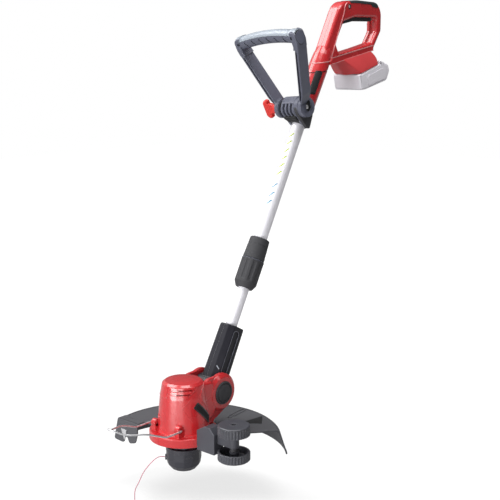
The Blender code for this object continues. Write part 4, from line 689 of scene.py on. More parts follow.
def tube(points, radius, sides=12, place=ROOT):
    """A round bar with domed ends along its points."""
    points = [Vector(p) for p in points]
    rings = []
    side = None
    last = len(points) - 1
    for i, point in enumerate(points):
        ahead = (points[min(i + 1, last)] - points[max(i - 1, 0)]).normalized()
        if side is None:
            side = ahead.orthogonal().normalized()
        side = (side - ahead * side.dot(ahead)).normalized()
        across = ahead.cross(side)
        ends = [(0.0, 1.0)]
        if i == 0:
            ends = [(-0.9, 0.35), (-0.5, 0.85), (0.0, 1.0)]
        if i == last:
            ends = [(0.0, 1.0), (0.5, 0.85), (0.9, 0.35)]
        for shift, share in ends:
            centre = point + ahead * radius * shift * 0.6
            rings.append([centre + (side * math.cos(a) + across * math.sin(a)) * radius * share
                          for a in (2 * math.pi * k / sides for k in range(sides))])
    return loft(rings, place)


def smooth_path(points, per_span):
    """Points on a smooth curve through the route's points."""
    path = []
    ends = [points[0]] + list(points) + [points[-1]]
    for i in range(1, len(ends) - 2):
        p0, p1, p2, p3 = (Vector(ends[k]) for k in range(i - 1, i + 3))
        for step in range(per_span):
            t = step / per_span
            path.append(0.5 * (2 * p1 + (p2 - p0) * t + (2 * p0 - 5 * p1 + 4 * p2 - p3) * t * t
                               + (3 * p1 - p0 - 3 * p2 + p3) * t ** 3))
    path.append(Vector(points[-1]))
    return path


def grid_rim(grid):
    """The border of a grid of vertices, all the way round."""
    inner = grid[1:-1]
    return grid[0] + [row[-1] for row in inner] + grid[-1][::-1] + [row[0] for row in reversed(inner)]


def patch(surface, half_long, half_wide, corner, thick, rows=28, across=8):
    """A thin plate with rounded corners that follows surface(along, across, lift)."""
    bm = bmesh.new()
    layers = []
    for lift in (thick, -0.0003):
        grid = []
        for i in range(rows + 1):
            u = -math.cos(math.pi * i / rows) * half_long
            past = max(0.0, abs(u) - (half_long - corner))
            reach = half_wide - corner + math.sqrt(max(0.0, corner ** 2 - past ** 2))
            grid.append([bm.verts.new(surface(u, reach * (2 * k / across - 1), lift))
                         for k in range(across + 1)])
        layers.append(grid)
        for a, b in zip(grid, grid[1:]):
            for k in range(across):
                bm.faces.new((a[k], a[k + 1], b[k + 1], b[k]))
    bridge(bm, *map(grid_rim, layers))
    return closed_mesh(bm, ROOT)


def stand(data, name="carving"):
    """An object in the scene that carries a mesh or other data."""
    holder = bpy.data.objects.new(name, data)
    bpy.context.scene.collection.objects.link(holder)
    return holder


def clear(*holders):
    """Takes objects out of the scene again."""
    for holder in holders:
        bpy.data.objects.remove(holder, do_unlink=True)


def baked(holder):
    """The mesh of an object with its modifiers applied."""
    bpy.context.view_layer.update()
    graph = bpy.context.evaluated_depsgraph_get()
    return bpy.data.meshes.new_from_object(holder.evaluated_get(graph), depsgraph=graph)


def carve(form, *tools, operation="DIFFERENCE"):
    """The form with the tools cut away, or kept only inside them."""
    body = stand(form)
    holders = [stand(tool) for tool in tools]
    for holder in holders:
        boolean = body.modifiers.new("carve", "BOOLEAN")
        boolean.operation = operation
        boolean.solver = "EXACT"
        boolean.object = holder
    result = baked(body)
    clear(*holders, body)
    return result


def halved(form, side, gap=HAIR):
    """The part of a closed form on one side of the mid-plane, closed again."""
    bm = bmesh.new()
    bm.from_mesh(form)
    geometry = bm.verts[:] + bm.edges[:] + bm.faces[:]
    cut = bmesh.ops.bisect_plane(bm, geom=geometry, plane_co=(side * gap, 0, 0), plane_no=(-side, 0, 0),
                                 clear_outer=True, dist=1e-8)
    edges = [e for e in cut["geom_cut"] if isinstance(e, bmesh.types.BMEdge)]
    if edges:
        bmesh.ops.triangle_fill(bm, use_beauty=True, edges=edges)
    return closed_mesh(bm, ROOT)


def piece(name, forms, body, slot, *nodes, sharp=32):
    """One finished piece: its forms with their materials, on its body, for its CAD nodes."""
    whole = bmesh.new()
    materials = []
    for form, material in forms:
        if material not in materials:
            materials.append(material)
        before = len(whole.faces)
        whole.from_mesh(form)
        whole.faces.ensure_lookup_table()
        for face in whole.faces[before:]:
            face.material_index = materials.index(material)
    mesh = bpy.data.meshes.new(name)
    whole.to_mesh(mesh)
    whole.free()
    for material in materials:
        mesh.materials.append(material)
    mesh.shade_smooth()
    mesh.set_sharp_from_angle(angle=math.radians(sharp))
    holder = stand(mesh)
    weighted = holder.modifiers.new("even_normals", "WEIGHTED_NORMAL")
    weighted.keep_sharp = True
    finished = baked(holder)
    clear(holder)
    finished.name = name
    made = stand(finished, name)
    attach(made, body)
    if nodes:
        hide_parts(*nodes)
    return made


# Geometry Nodes: what repeats


def finish_group(tree, last, material, sink):
    """Makes the copies real, gives them their material and hands them out."""
    real = add_node(tree, "GeometryNodeRealizeInstances", {"Geometry": last.outputs[0]})
    done = add_node(tree, "GeometryNodeSetMaterial", {"Geometry": real.outputs[0], "Material": material})
    tree.links.new(done.outputs[0], sink.inputs[0])
    return tree


def build_ribs(name):
    """Rounded ribs set upright round a rim, joined to the rim's own body."""
    tree, source, sink = new_group(
        name, "GeometryNodeTree",
        [("Geometry", "Geometry", None), ("Count", "Int", 30), ("Rim Radius", "Float", 0.03),
         ("Width", "Float", 0.004), ("Proud", "Float", 0.001), ("Length", "Float", 0.01),
         ("Height", "Float", 0.0), ("Material", "Material", None)],
        [("Geometry", "Geometry")])
    out = source.outputs
    rim = add_node(tree, "GeometryNodeMeshCircle", {"Vertices": out["Count"], "Radius": out["Rim Radius"]})
    half = arithmetic(tree, "MULTIPLY", out["Width"], 0.5)
    rib = add_node(tree, "GeometryNodeMeshCylinder", {"Vertices": 10, "Radius": 1.0, "Depth": 1.0})
    scale = add_node(tree, "ShaderNodeCombineXYZ", {"X": out["Proud"], "Y": half, "Z": out["Length"]})
    position = add_node(tree, "GeometryNodeInputPosition")
    aim = add_node(tree, "FunctionNodeAlignRotationToVector", {"Vector": position.outputs[0]}, axis="X")
    ribs = add_node(tree, "GeometryNodeInstanceOnPoints", {
        "Points": rim.outputs[0], "Instance": rib.outputs["Mesh"], "Rotation": aim.outputs[0],
        "Scale": scale.outputs[0]})
    lift = add_node(tree, "ShaderNodeCombineXYZ", {"Z": out["Height"]})
    raised = add_node(tree, "GeometryNodeTransform", {"Geometry": ribs.outputs[0],
                                                      "Translation": lift.outputs[0]})
    joined = add_node(tree, "GeometryNodeJoinGeometry")
    tree.links.new(raised.outputs[0], joined.inputs[0])
    tree.links.new(out["Geometry"], joined.inputs[0])
    return finish_group(tree, joined, out["Material"], sink)


def build_screws(name):
    """A screw on each point, turned to the point's own aim."""
    tree, source, sink = new_group(
        name, "GeometryNodeTree",
        [("Geometry", "Geometry", None), ("Screw", "Object", None),
         ("Size", "Float", 1.0), ("Material", "Material", None)],
        [("Geometry", "Geometry")])
    out = source.outputs
    screw = add_node(tree, "GeometryNodeObjectInfo", {"Object": out["Screw"]}, transform_space="ORIGINAL")
    stored = add_node(tree, "GeometryNodeInputNamedAttribute", {"Name": "aim"}, data_type="FLOAT_VECTOR")
    aim = add_node(tree, "FunctionNodeAlignRotationToVector", {"Vector": stored.outputs[0]}, axis="Z")
    scale = add_node(tree, "ShaderNodeCombineXYZ", {"X": out["Size"], "Y": out["Size"], "Z": out["Size"]})
    placed = add_node(tree, "GeometryNodeInstanceOnPoints", {
        "Points": out["Geometry"], "Instance": screw.outputs["Geometry"], "Rotation": aim.outputs[0],
        "Scale": scale.outputs[0]})
    return finish_group(tree, placed, out["Material"], sink)


def build_row(name):
    """The same form repeated in a row."""
    tree, source, sink = new_group(
        name, "GeometryNodeTree",
        [("Geometry", "Geometry", None), ("Count", "Int", 3), ("Step", "Vector", (0, 0, 0)),
         ("Material", "Material", None)],
        [("Geometry", "Geometry")])
    out = source.outputs
    line = add_node(tree, "GeometryNodeMeshLine", {"Count": out["Count"], "Offset": out["Step"]})
    placed = add_node(tree, "GeometryNodeInstanceOnPoints", {"Points": line.outputs[0],
                                                             "Instance": out["Geometry"]})
    return finish_group(tree, placed, out["Material"], sink)


def repeated(form, tree, place=ROOT, **values):
    """A mesh from a node tree run on a form, in its place."""
    holder = stand(form)
    modifier = holder.modifiers.new("repeat", "NODES")
    modifier.node_group = tree
    for item in tree.interface.items_tree:
        key = item.name.lower().replace(" ", "_")
        if item.item_type == "SOCKET" and item.in_out == "INPUT" and key in values:
            modifier[item.identifier] = values[key]
    result = baked(holder)
    clear(holder)
    result.transform(place)
    return result


def ribbed(form, place, material, count, rim_radius, width, proud, length, height):
    """The form with upright ribs round its rim."""
    tree = kept_group("ribs_round_a_rim", build_ribs)
    return repeated(form, tree, place, count=count, rim_radius=rim_radius, width=width, proud=proud,
                    length=length, height=height, material=material)


def in_a_row(form, material, count, step, place=ROOT):
    """The form repeated in a row."""
    tree = kept_group("forms_in_a_row", build_row)
    return repeated(form, tree, place, count=count, step=step, material=material)


# Shapes shared by pieces

HEAD_CURVE = ((0.0365, 0.0385), (0.041, 0.033), (0.045, 0.01), (0.051, -0.049), (0.051, -0.06))


def curve_radius(curve, height):
    """The radius of a turned outline at a height."""
    for (r0, z0), (r1, z1) in zip(curve, curve[1:]):
        if z1 <= height <= z0:
            return r0 + (r1 - r0) * (height - z0) / (z1 - z0)
    return curve[0][0] if height > curve[0][1] else curve[-1][0]


def on_barrel(heading, height):
    """A point on the motor barrel's skin."""
    return MOTOR @ around(curve_radius(HEAD_CURVE, height), math.radians(heading), height)


def ridge(corners, radius, fine=10):
    """A raised line on the motor barrel through (heading, height) corners."""
    points = []
    for (h0, z0), (h1, z1) in zip(corners, corners[1:]):
        points += [on_barrel(h0 + (h1 - h0) * i / fine, z0 + (z1 - z0) * i / fine) for i in range(fine)]
    points.append(on_barrel(*corners[-1]))
    return tube(points, radius, 10)


def cylinder_x(radius, low, high, place=HEAD, edge=0.0006, steps=64):
    """A round bar along X."""
    return lathe([(0, high), (radius, high, edge), (radius, low, edge), (0, low)], place @ TO_X, steps)


class TrimmerStage(bpy.types.Operator):
    """Camera, lamps, white surroundings and the floor under the trimmer"""
    bl_idname = "trimmer.stage"
    bl_label = "Stage"

    def execute(self, context):
        scene = context.scene
        scene.view_settings.view_transform = "Standard"
        lens = bpy.data.cameras.new("camera")
        lens.lens = LENS
        lens.sensor_width = 36
        lens.clip_end = 30
        eye = stand(lens, "camera")
        turned = Matrix((TO_RIGHT, TO_CAMERA.cross(TO_RIGHT), TO_CAMERA)).transposed().to_4x4()
        eye.matrix_world = Matrix.Translation(AIM + TO_CAMERA * CAMERA_DISTANCE) @ turned
        scene.camera = eye
        self.floor()
        self.surroundings(scene)
        level = Vector((TO_CAMERA.x, TO_CAMERA.y, 0)).normalized()
        for name, side, height, depth, size, power in LAMPS:
            lamp = bpy.data.lights.new(name, "AREA")
            lamp.shape = "DISK"
            lamp.size = size
            lamp.energy = power
            holder = stand(lamp, name)
            place = AIM + TO_RIGHT * side + level * depth + Vector((0, 0, height))
            facing = (place - AIM).to_track_quat("Z", "Y").to_matrix().to_4x4()
            holder.matrix_world = Matrix.Translation(place) @ facing
        return {"FINISHED"}

    def floor(self):
        """A pale floor that takes the trimmer's shadow and looks white to the camera."""
        bm = bmesh.new()
        bmesh.ops.create_grid(bm, x_segments=2, y_segments=2, size=FLOOR_HALF)
        bm.transform(Matrix.Translation((0, 0, SOLID_BOX[0][2] - FLOOR_GAP)))
        mesh = bpy.data.meshes.new("floor")
        bm.to_mesh(mesh)
        bm.free()
        made = stand(mesh, "floor")
        material, tree, shader = new_material("pale_floor")
        feed(tree, shader, {"Base Color": (0.28, 0.28, 0.28, 1), "Roughness": 0.9,
                            "Specular IOR Level": 0.1})
        rays = add_node(tree, "ShaderNodeLightPath").outputs
        mirrored = arithmetic(tree, "MULTIPLY", rays["Is Glossy Ray"], 0.4)
        seen = arithmetic(tree, "MAXIMUM", rays["Is Camera Ray"], mirrored)
        through = arithmetic(tree, "MAXIMUM", seen, rays["Is Transmission Ray"])
        place = object_place(tree)
        away = measured(tree, "DISTANCE", place, (0, -0.5, SOLID_BOX[0][2]))
        fade = remapped(tree, away, 0.5, 1.7, 0.72, 1.0, interpolation_type="SMOOTHSTEP")
        glow = arithmetic(tree, "MULTIPLY", through, fade)
        white = add_node(tree, "ShaderNodeEmission", {"Strength": glow})
        both = add_node(tree, "ShaderNodeAddShader", {0: shader.outputs[0], 1: white.outputs[0]})
        feed(tree, tree.nodes["Material Output"], {"Surface": both.outputs[0]})
        mesh.materials.append(material)

    def surroundings(self, scene):
        """A world that is white to the camera, and brighter on one side in reflections."""
        world = bpy.data.worlds.new("studio")
        scene.world = world
        world.use_nodes = True
        tree = world.node_tree
        rays = add_node(tree, "ShaderNodeLightPath").outputs
        seen = arithmetic(tree, "MAXIMUM", rays["Is Camera Ray"], rays["Is Transmission Ray"])
        plain = remapped(tree, seen, 0.0, 1.0, WORLD_LIGHT, 1.0)
        ray = add_node(tree, "ShaderNodeTexCoord").outputs["Generated"]
        side = measured(tree, "DOT_PRODUCT", ray, WORLD_BRIGHT_SIDE)
        white = remapped(tree, side, -0.3, 0.7, 0.1, 1.0, interpolation_type="SMOOTHSTEP")
        strength = add_node(tree, "ShaderNodeMix", {0: rays["Is Glossy Ray"], 2: plain, 3: white})
        feed(tree, tree.nodes["Background"], {"Color": (1, 1, 1, 1), "Strength": strength.outputs[0]})


class TrimmerCuttingLine(bpy.types.Operator):
    """The free nylon line that hangs from its eyelet"""
    bl_idname = "trimmer.cutting_line"
    bl_label = "Cutting Line"

    def execute(self, context):
        outward = around(1.0, math.radians(LINE_HEADING))
        route = [outward * 0.034 + Vector((0, 0, LINE_HEIGHT))]
        for out, down in ((0.0, 0.0), (0.014, 0.001), (0.03, 0.0152), (0.0434, 0.0334), (0.0527, 0.0537),
                          (0.0605, 0.0705), (0.0617, 0.0905), (0.061, 0.106)):
            route.append(outward * (0.0371 + out) + Vector((0, 0, LINE_HEIGHT - down)))
        path = [MOTOR @ point for point in smooth_path(route, 3)]
        curve = bpy.data.curves.new("cutting_line_strand", "CURVE")
        curve.dimensions = "3D"
        curve.bevel_depth = sizes().line_radius
        curve.bevel_resolution = 3
        curve.use_fill_caps = True
        spline = curve.splines.new("POLY")
        spline.points.add(len(path) - 1)
        for point, place in zip(spline.points, path):
            point.co = (*place, 1)
        strand = stand(curve, "cutting_line_strand")
        curve.materials.append(nylon())
        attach(strand, "spool")
        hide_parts("cutting_line")
        return {"FINISHED"}


class TrimmerSolidFinishes(bpy.types.Operator):
    """Finishes of the solid model's own nodes"""
    bl_idname = "trimmer.solid_finishes"
    bl_label = "Solid Finishes"

    def execute(self, context):
        finishes = {"gloss_red_plastic": red, "black_plastic": black, "guard_plastic": guard_grey,
                    "grey_blue_plastic": handle_grey, "soft_grip": soft_rubber, "tube_aluminium": tube_metal,
                    "bright_steel": steel, "pale_grey_plastic": pack_grey, "nylon_line": nylon,
                    "copper": copper}
        for name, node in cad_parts.items():
            for slot in node.material_slots:
                plain = slot.material.name.split(".")[0] if slot.material else "black_plastic"
                slot.material = finishes.get(plain, black)()
        return {"FINISHED"}


HOUSING = ((-0.1514, -0.1188), (-0.0796, 0.014, 0.04), (-0.017, 0.0185, 0.1), (0.0737, 0.016, 0.03),
           (0.0737, -0.045, 0.014), (0.044, -0.087, 0.006), (-0.12, -0.1207), (-0.1264, -0.1323))
OPENING = ((-0.0675, -0.027, 0.008), (-0.025, -0.017, 0.03), (0.055, -0.016, 0.007), (0.0545, -0.046, 0.007),
           (0.036, -0.072, 0.007), (-0.082, -0.097, 0.005), (-0.0955, -0.075, 0.004))
FRONT_SHELL = ((-0.1326, -0.1437), (-0.1576, -0.1302), (-0.0796, 0.014, 0.04), (-0.046, 0.016),
               (-0.0494, 0.011), (-0.0594, 0.0), (-0.0631, -0.0147), (-0.0761, -0.0429), (-0.0928, -0.0794),
               (-0.1124, -0.1231))
BEHIND_RIB = ((-0.0575, 0.04), (-0.0605, 0.013, 0.003), (-0.0685, 0.004, 0.008), (-0.0722, -0.0106, 0.02),
              (-0.0852, -0.0388, 0.06), (-0.1019, -0.0753, 0.06), (-0.1215, -0.119), (-0.13, -0.138),
              (-0.12, -0.17), (0.02, -0.17), (0.02, 0.04))
RIB_LINE = ((-0.062, 0.012), (-0.0685, 0.004), (-0.0722, -0.0106), (-0.0852, -0.0388), (-0.1019, -0.0753),
            (-0.1215, -0.119))
CUP_FLOOR = 0.0112
SOCKET = SHAFT @ move(0, 0.0012, 0)
SOCKET_CURVE = ((0.021, 0.739), (0.0195, 0.6291))


class TrimmerRearHandle(bpy.types.Operator):
    """Two glossy shells of the rear handle, their ledge, battery foot and tube socket"""
    bl_idname = "trimmer.rear_handle"
    bl_label = "Rear Handle"

    def execute(self, context):
        half = sizes().shell_half
        ring = prism([rounded(HOUSING, 10), rounded(OPENING, 8)], -half, half, edge=0.0065, steps=7)
        channel = plate([(0.05, -0.0215, 0.002), (0.06, -0.0215, 0.002), (0.0595, -0.047, 0.003),
                         (0.04, -0.0752, 0.002), (0.0335, -0.068, 0.002), (0.05, -0.045, 0.003)], 4, -0.0055,
                        0.0055, edge=0.0015)
        slot = block((-0.0084, -0.0705, -0.04), (0.0084, 0.049, 0.003), edge=0.0008)
        cups = [cylinder_x(radius, *span(side, CUP_FLOOR, FAR), move(0, y, z), 0.0004, 40)
                for (y, z, side), radius in zip(HOUSING_SCREWS, (0.005, 0.0046, 0.0046))]
        lock, lock_rim = (cylinder_x(radius, -FAR, -0.008, LOCK_OFF, edge, 40)
                          for radius, edge in ((0.0066, 0.0004), (0.0074, 0.0002)))
        ring = carve(ring, channel, slot, *cups, lock)
        front = plate(FRONT_SHELL, 12, -0.0167, 0.0167, edge=0.0118, steps=10)
        behind = plate(BEHIND_RIB, 8, -0.03, 0.03, edge=0.0001, steps=1)
        front = carve(front, behind, slot, cups[0], cups[2], lock)
        socket, joint, moulded_edge = self.socket()
        band, *strips = self.ledge()
        # The socket's moulded edge, the ledge strips and the side rib take the paler red that paints their
        # highlight.
        forms = [(ring, red()), (front, red()), (socket, red()), (band, red()), (self.foot(), satin_red()),
                 (moulded_edge, painted_highlight_red()), (joint, deep_black()),
                 *((strip, painted_highlight_red()) for strip in strips)]
        for name, side in (("rear_housing_left", 1), ("rear_housing_right", -1)):
            shells = [(halved(form, side), material) for form, material in forms]
            shells.append((carve(self.rib(side), lock_rim), painted_highlight_red()))
            for y, z, facing in HOUSING_SCREWS:
                if facing == side:
                    shells += self.cup_shade_lining(side, move(0, y, z))
            piece(name + "_shell", shells, "handle", "gloss_red_plastic", name)
        self.socket_badge()
        return {"FINISHED"}

    def cup_shade_lining(self, side, place):
        """Dark floor of a screw's cup, a sheet that paints the cup's shade, and the cup's dark bush."""
        floor = cylinder_x(0.0049, *span(side, CUP_FLOOR - 0.0008, CUP_FLOOR + 0.0001), place, 0.0001, 40)
        bush = lathe([(0.0038, 0.0156), (0.0052, 0.0158, 0.0003), (0.0052, 0.0108), (0.0038, 0.0108)],
                     place @ turn(side * 90, "Y"), 48, bored=True)
        return [(floor, deep_black()), (bush, badge_black())]

    def socket(self):
        """Tapered socket on the upper tube, with its slanting joint and moulded edge."""
        slant = 0.7
        joint_height, edge_height, edge_reach = 0.7067, 0.7295, 0.0205
        profile = [(0, 0.76), (0.016, 0.76, 0.002), (0.0196, 0.742, 0.01), (0.0208, 0.725, 0.004),
                   (0.0209, 0.705, 0.002), (0.0195, 0.631, 0.0012), (0.0187, 0.6291, 0.0006), (0, 0.6291)]
        whole = lathe(profile, SOCKET, 96)
        bore = rod(UPPER_BORE_R, 0.7, 0.6, SHAFT)
        core = rod(0.0194, 0.8, 0.6, SOCKET, 80)
        slab = block((-0.06, -0.06, -0.001), (0.06, 0.06, 0.001),
                     SOCKET @ move(0, 0, joint_height) @ turn(math.degrees(math.atan(slant)), "X"), 0.0001)
        loop = []
        for i in range(49):
            angle = 2 * math.pi * i / 48
            x, y = edge_reach * math.cos(angle), edge_reach * math.sin(angle)
            loop.append(SOCKET @ Vector((x, y, edge_height + slant * y)))
        disc = carve(carve(slab, rod(0.0199, 0.8, 0.6, SOCKET, 80), operation="INTERSECT"), bore)
        return carve(whole, bore, carve(slab, core)), disc, tube(loop, 0.0012, 10)

    def ledge(self):
        """The ledge over the battery foot, with a moulded strip along its upper and lower edge."""
        y0, z0, y1, z1 = -0.115, -0.104, 0.038, -0.076
        band = rounded([(y0, z0, 0.001), (y0 - 0.009, z0 - 0.016, 0.001), (y1 - 0.003, z1 - 0.013, 0.003),
                        (y1, z1, 0.004)], 5)
        upper = rounded([(y0, z0, 0.0004), (y0 - 0.0008, z0 - 0.0016, 0.0004),
                         (y1 - 0.0003, z1 - 0.0018, 0.0005), (y1, z1, 0.002)], 4)
        lower = rounded([(y0 - 0.008, z0 - 0.0142, 0.0004), (y0 - 0.009, z0 - 0.016, 0.0004),
                         (y1 - 0.003, z1 - 0.013, 0.001), (y1 - 0.0024, z1 - 0.0112, 0.0005)], 4)
        strips = [prism([outline], -0.0212, 0.0212, edge=0.0005, steps=3) for outline in (upper, lower)]
        return [prism([band], -0.0203, 0.0203, edge=0.0012), *strips]

    def foot(self):
        """Flared block between ledge and pack, bowed at the front."""
        run = Vector((0, math.cos(math.radians(RAIL_LEAN)), math.sin(math.radians(RAIL_LEAN))))
        ledge_run = Vector((0, 0.153, 0.028)).normalized()
        ledge_start = Vector((0, -0.115, -0.1144))
        rings = []
        for i in range(13):
            t = i / 12
            flare = t ** 1.35
            half = 0.0365 * (1 - flare) + 0.02 * flare
            front = RAIL_START * (1 - t) + (ledge_start + ledge_run * 0.04) * t
            back = (RAIL_START + run * 0.07) * (1 - t) + (ledge_start + ledge_run * 0.146) * t
            back += run * 0.004 * math.sin(math.pi * t)
            way = (back - front).normalized()
            reach = (back - front).length
            bow = -0.016 * (1 - t) - 0.01 * t
            corners = [(half, -0.004, 0.006), (half, reach, 0.009), (-half, reach, 0.009),
                       (-half, -0.004, 0.006), (0.0, bow, 0.016)]
            outline = rounded(corners, 12)
            rings.append([Vector((p.x, 0, 0)) + front + way * p.y for p in outline])
        bay = block((-0.0243, 0.004, -0.003), (0.0243, FAR, 0.0123), RAIL, 0.0006)
        return carve(loft(rings), bay)

    def rib(self, side):
        """Raised line along the front of the handle's side."""
        points = [Vector((side * 0.0164, y, z)) for y, z in RIB_LINE]
        return tube(smooth_path(points, 6), 0.0012, 12)

    def socket_badge(self):
        """Bare slanted plate on the socket."""
        turned = SOCKET @ turn(-36, "Z")

        def surface(along, across, lift):
            height = 0.6745 + along + across * 0.3
            reach = curve_radius(SOCKET_CURVE, height) + 0.0004 + lift
            return turned @ around(reach, across / reach, height)

        rim = patch(surface, 0.0268, 0.008, 0.0012, 0.0008)
        field = patch(lambda u, v, lift: surface(u, v, lift + 0.0002), 0.024, 0.0058, 0.001, 0.0007)
        piece("socket_badge_plate", [(rim, badge_black()), (field, deep_black())], "handle", "black_plastic",
              "socket_badge")


class TrimmerGrip(bpy.types.Operator):
    """Soft band, trigger and lock-off button of the rear grip"""
    bl_idname = "trimmer.grip"
    bl_label = "Grip And Trigger"

    def execute(self, context):
        half = sizes().shell_half
        outer = rounded(HOUSING, 12)
        slab = prism([inset(outer, -0.001)], -half - 0.001, half + 0.001, edge=0.0075, steps=7)
        zone = rounded([(-0.044, 0.03), (-0.046, 0.0128, 0.001), (0.03, 0.0118, 0.003),
                        (0.035, 0.0068, 0.002), (0.054, 0.005, 0.002), (0.057, 0.0085, 0.002),
                        (0.056, 0.03)], 4)
        core = prism([inset(outer, 0.003)], -half + 0.002, half - 0.002, edge=0.006)
        band = carve(carve(slab, prism([zone], -0.03, 0.03, edge=0.0003), operation="INTERSECT"), core)
        piece("grip_band", [(band, soft_rubber())], "handle", "soft_grip", "grip_overmould")
        outline = rounded([(-0.0675, -0.0335, 0.002), (-0.025, -0.0258, 0.02), (0.044, -0.0245, 0.003),
                           (0.044, -0.0118, 0.002), (-0.02, -0.011, 0.01), (-0.052, -0.002, 0.003),
                           (-0.0665, -0.003, 0.004)], 8)
        lever = prism([outline], -0.007, 0.007, edge=0.002, steps=5)
        piece("trigger_lever", [(lever, soft_rubber())], "trigger", "soft_grip", "trigger")
        place = LOCK_OFF @ turn(-90, "Y")
        cap = lathe([(0, 0.02), (0.0046, 0.0204, 0.001), (0.006, 0.0195, 0.0008), (0.006, 0.012),
                     (0, 0.012)], place, 48)
        grips = in_a_row(block((-0.004, -0.0003, 0.02), (0.004, 0.0003, 0.0208), edge=0.0002), soft_rubber(),
                         4, (0, 0.0018, 0), place @ move(0, -0.0027, 0))
        piece("lock_off_cap", [(cap, soft_rubber()), (grips, soft_rubber())], "lock_off", "soft_grip",
              "lock_off_button")
        return {"FINISHED"}


PACK = ((-0.0112, -0.0004, 0.004), (0.0706, -0.0004), (0.0713, 0.005, 0.001), (0.078, 0.006, 0.003),
        (0.105, -0.012, 0.008), (0.107, -0.028, 0.008), (0.09, -0.046, 0.012), (0.009, -0.041, 0.012),
        (-0.0115, -0.037, 0.006))


class TrimmerBattery(bpy.types.Operator):
    """Slide-on battery pack with its bare label panels and latch"""
    bl_idname = "trimmer.battery"
    bl_label = "Battery"

    def execute(self, context):
        outline = rounded(PACK, 8)
        case = prism([outline], -0.0375, 0.0375, RAIL, edge=0.005, steps=8)
        seat = block((-0.0168, -0.0095, -0.0045), (0.0168, 0.0068, FAR), LATCH, 0.001)
        seam = plate(rectangle(-0.03, -0.0183, 0.13, -0.0177), 1, -FAR, FAR, RAIL, edge=0.0001, steps=1)
        inner = prism([inset(outline, 0.0009)], -0.0366, 0.0366, RAIL, edge=0.0045, steps=6)
        window = block((-0.025, -0.03, -0.016), (0.025, -0.0084, -0.005), RAIL, 0.0005, 0.0005)
        lamps = in_a_row(block((0, -0.01, -0.0125), (0.004, -0.008, -0.0085), edge=0.0004), pack_panel(), 4,
                         (0.0075, 0, 0), RAIL @ move(-0.02, 0, 0))
        button = plate(rectangle(0.011, -0.013, 0.019, -0.008, 0.002), 5, 0.008, 0.01, RAIL, FACE_ON, 0.0004)
        shell = carve(case, seam, seat, window)
        forms = [(shell, pack_grey()), (carve(inner, seat), pack_panel()), (lamps, pack_panel()),
                 (button, button_orange())]
        label = rounded([(0.018, -0.013, 0.003), (0.082, -0.013, 0.003), (0.093, -0.024, 0.004),
                         (0.082, -0.038, 0.004), (0.018, -0.035, 0.003)], 6)
        for side in (-1, 1):
            forms.append((prism([label], *span(side, 0.037, 0.0379), RAIL, edge=0.0004), pack_panel()))
        rail = block((-0.024, 0.017, -0.002), (0.024, 0.066, 0.0117), RAIL, 0.001)
        forms.append((rail, pack_grey()))
        piece("battery_pack", forms, "battery", "pale_grey_plastic", "battery_case_upper",
              "battery_case_lower")
        pad = block((-0.016, -0.006, -0.0037), (0.016, 0.006, 0.0012), LATCH, 0.0012)
        ridges = in_a_row(block((-0.012, -0.0004, 0.001), (0.012, 0.0004, 0.0017), edge=0.0002), black(), 5,
                          (0, 0.002, 0), LATCH @ move(0, -0.004, 0))
        piece("latch_button", [(pad, black()), (ridges, black())], "battery_latch", "black_plastic",
              "battery_latch")
        return {"FINISHED"}


ARM_ROOT = 0.0313
ARM_OUT = 0.0403
LOOP_REACH = 0.153
GRIP_FACE = 0.0765
GRIP_BOW = 0.006
ARM_BLADE = ((ARM_ROOT, -0.01), (ARM_OUT, -0.01), (ARM_OUT, 0.0125, 0.004), (0.052, 0.03, 0.015),
             (0.0872, 0.129), (0.0772, 0.129), (ARM_ROOT, 0.003, 0.012))
ARM_END = ((0.0876, 0.128), (0.0917, 0.142, 0.02), (0.0915, 0.163, 0.009), (0.0765, 0.167, 0.003),
           (0.0765, 0.1365, 0.002), (0.073, 0.128))
ARM_GROOVE = ((0.0392, 0.0195, 0.001), (0.043, 0.0195, 0.001), (0.0487, 0.03, 0.001), (0.0815, 0.125, 0.001),
              (0.0768, 0.125, 0.001), (0.0437, 0.03, 0.001))


def grip_bow(x):
    """How far the grip bows outwards at a distance from its middle."""
    return GRIP_BOW * (1 - (x / GRIP_FACE) ** 2)


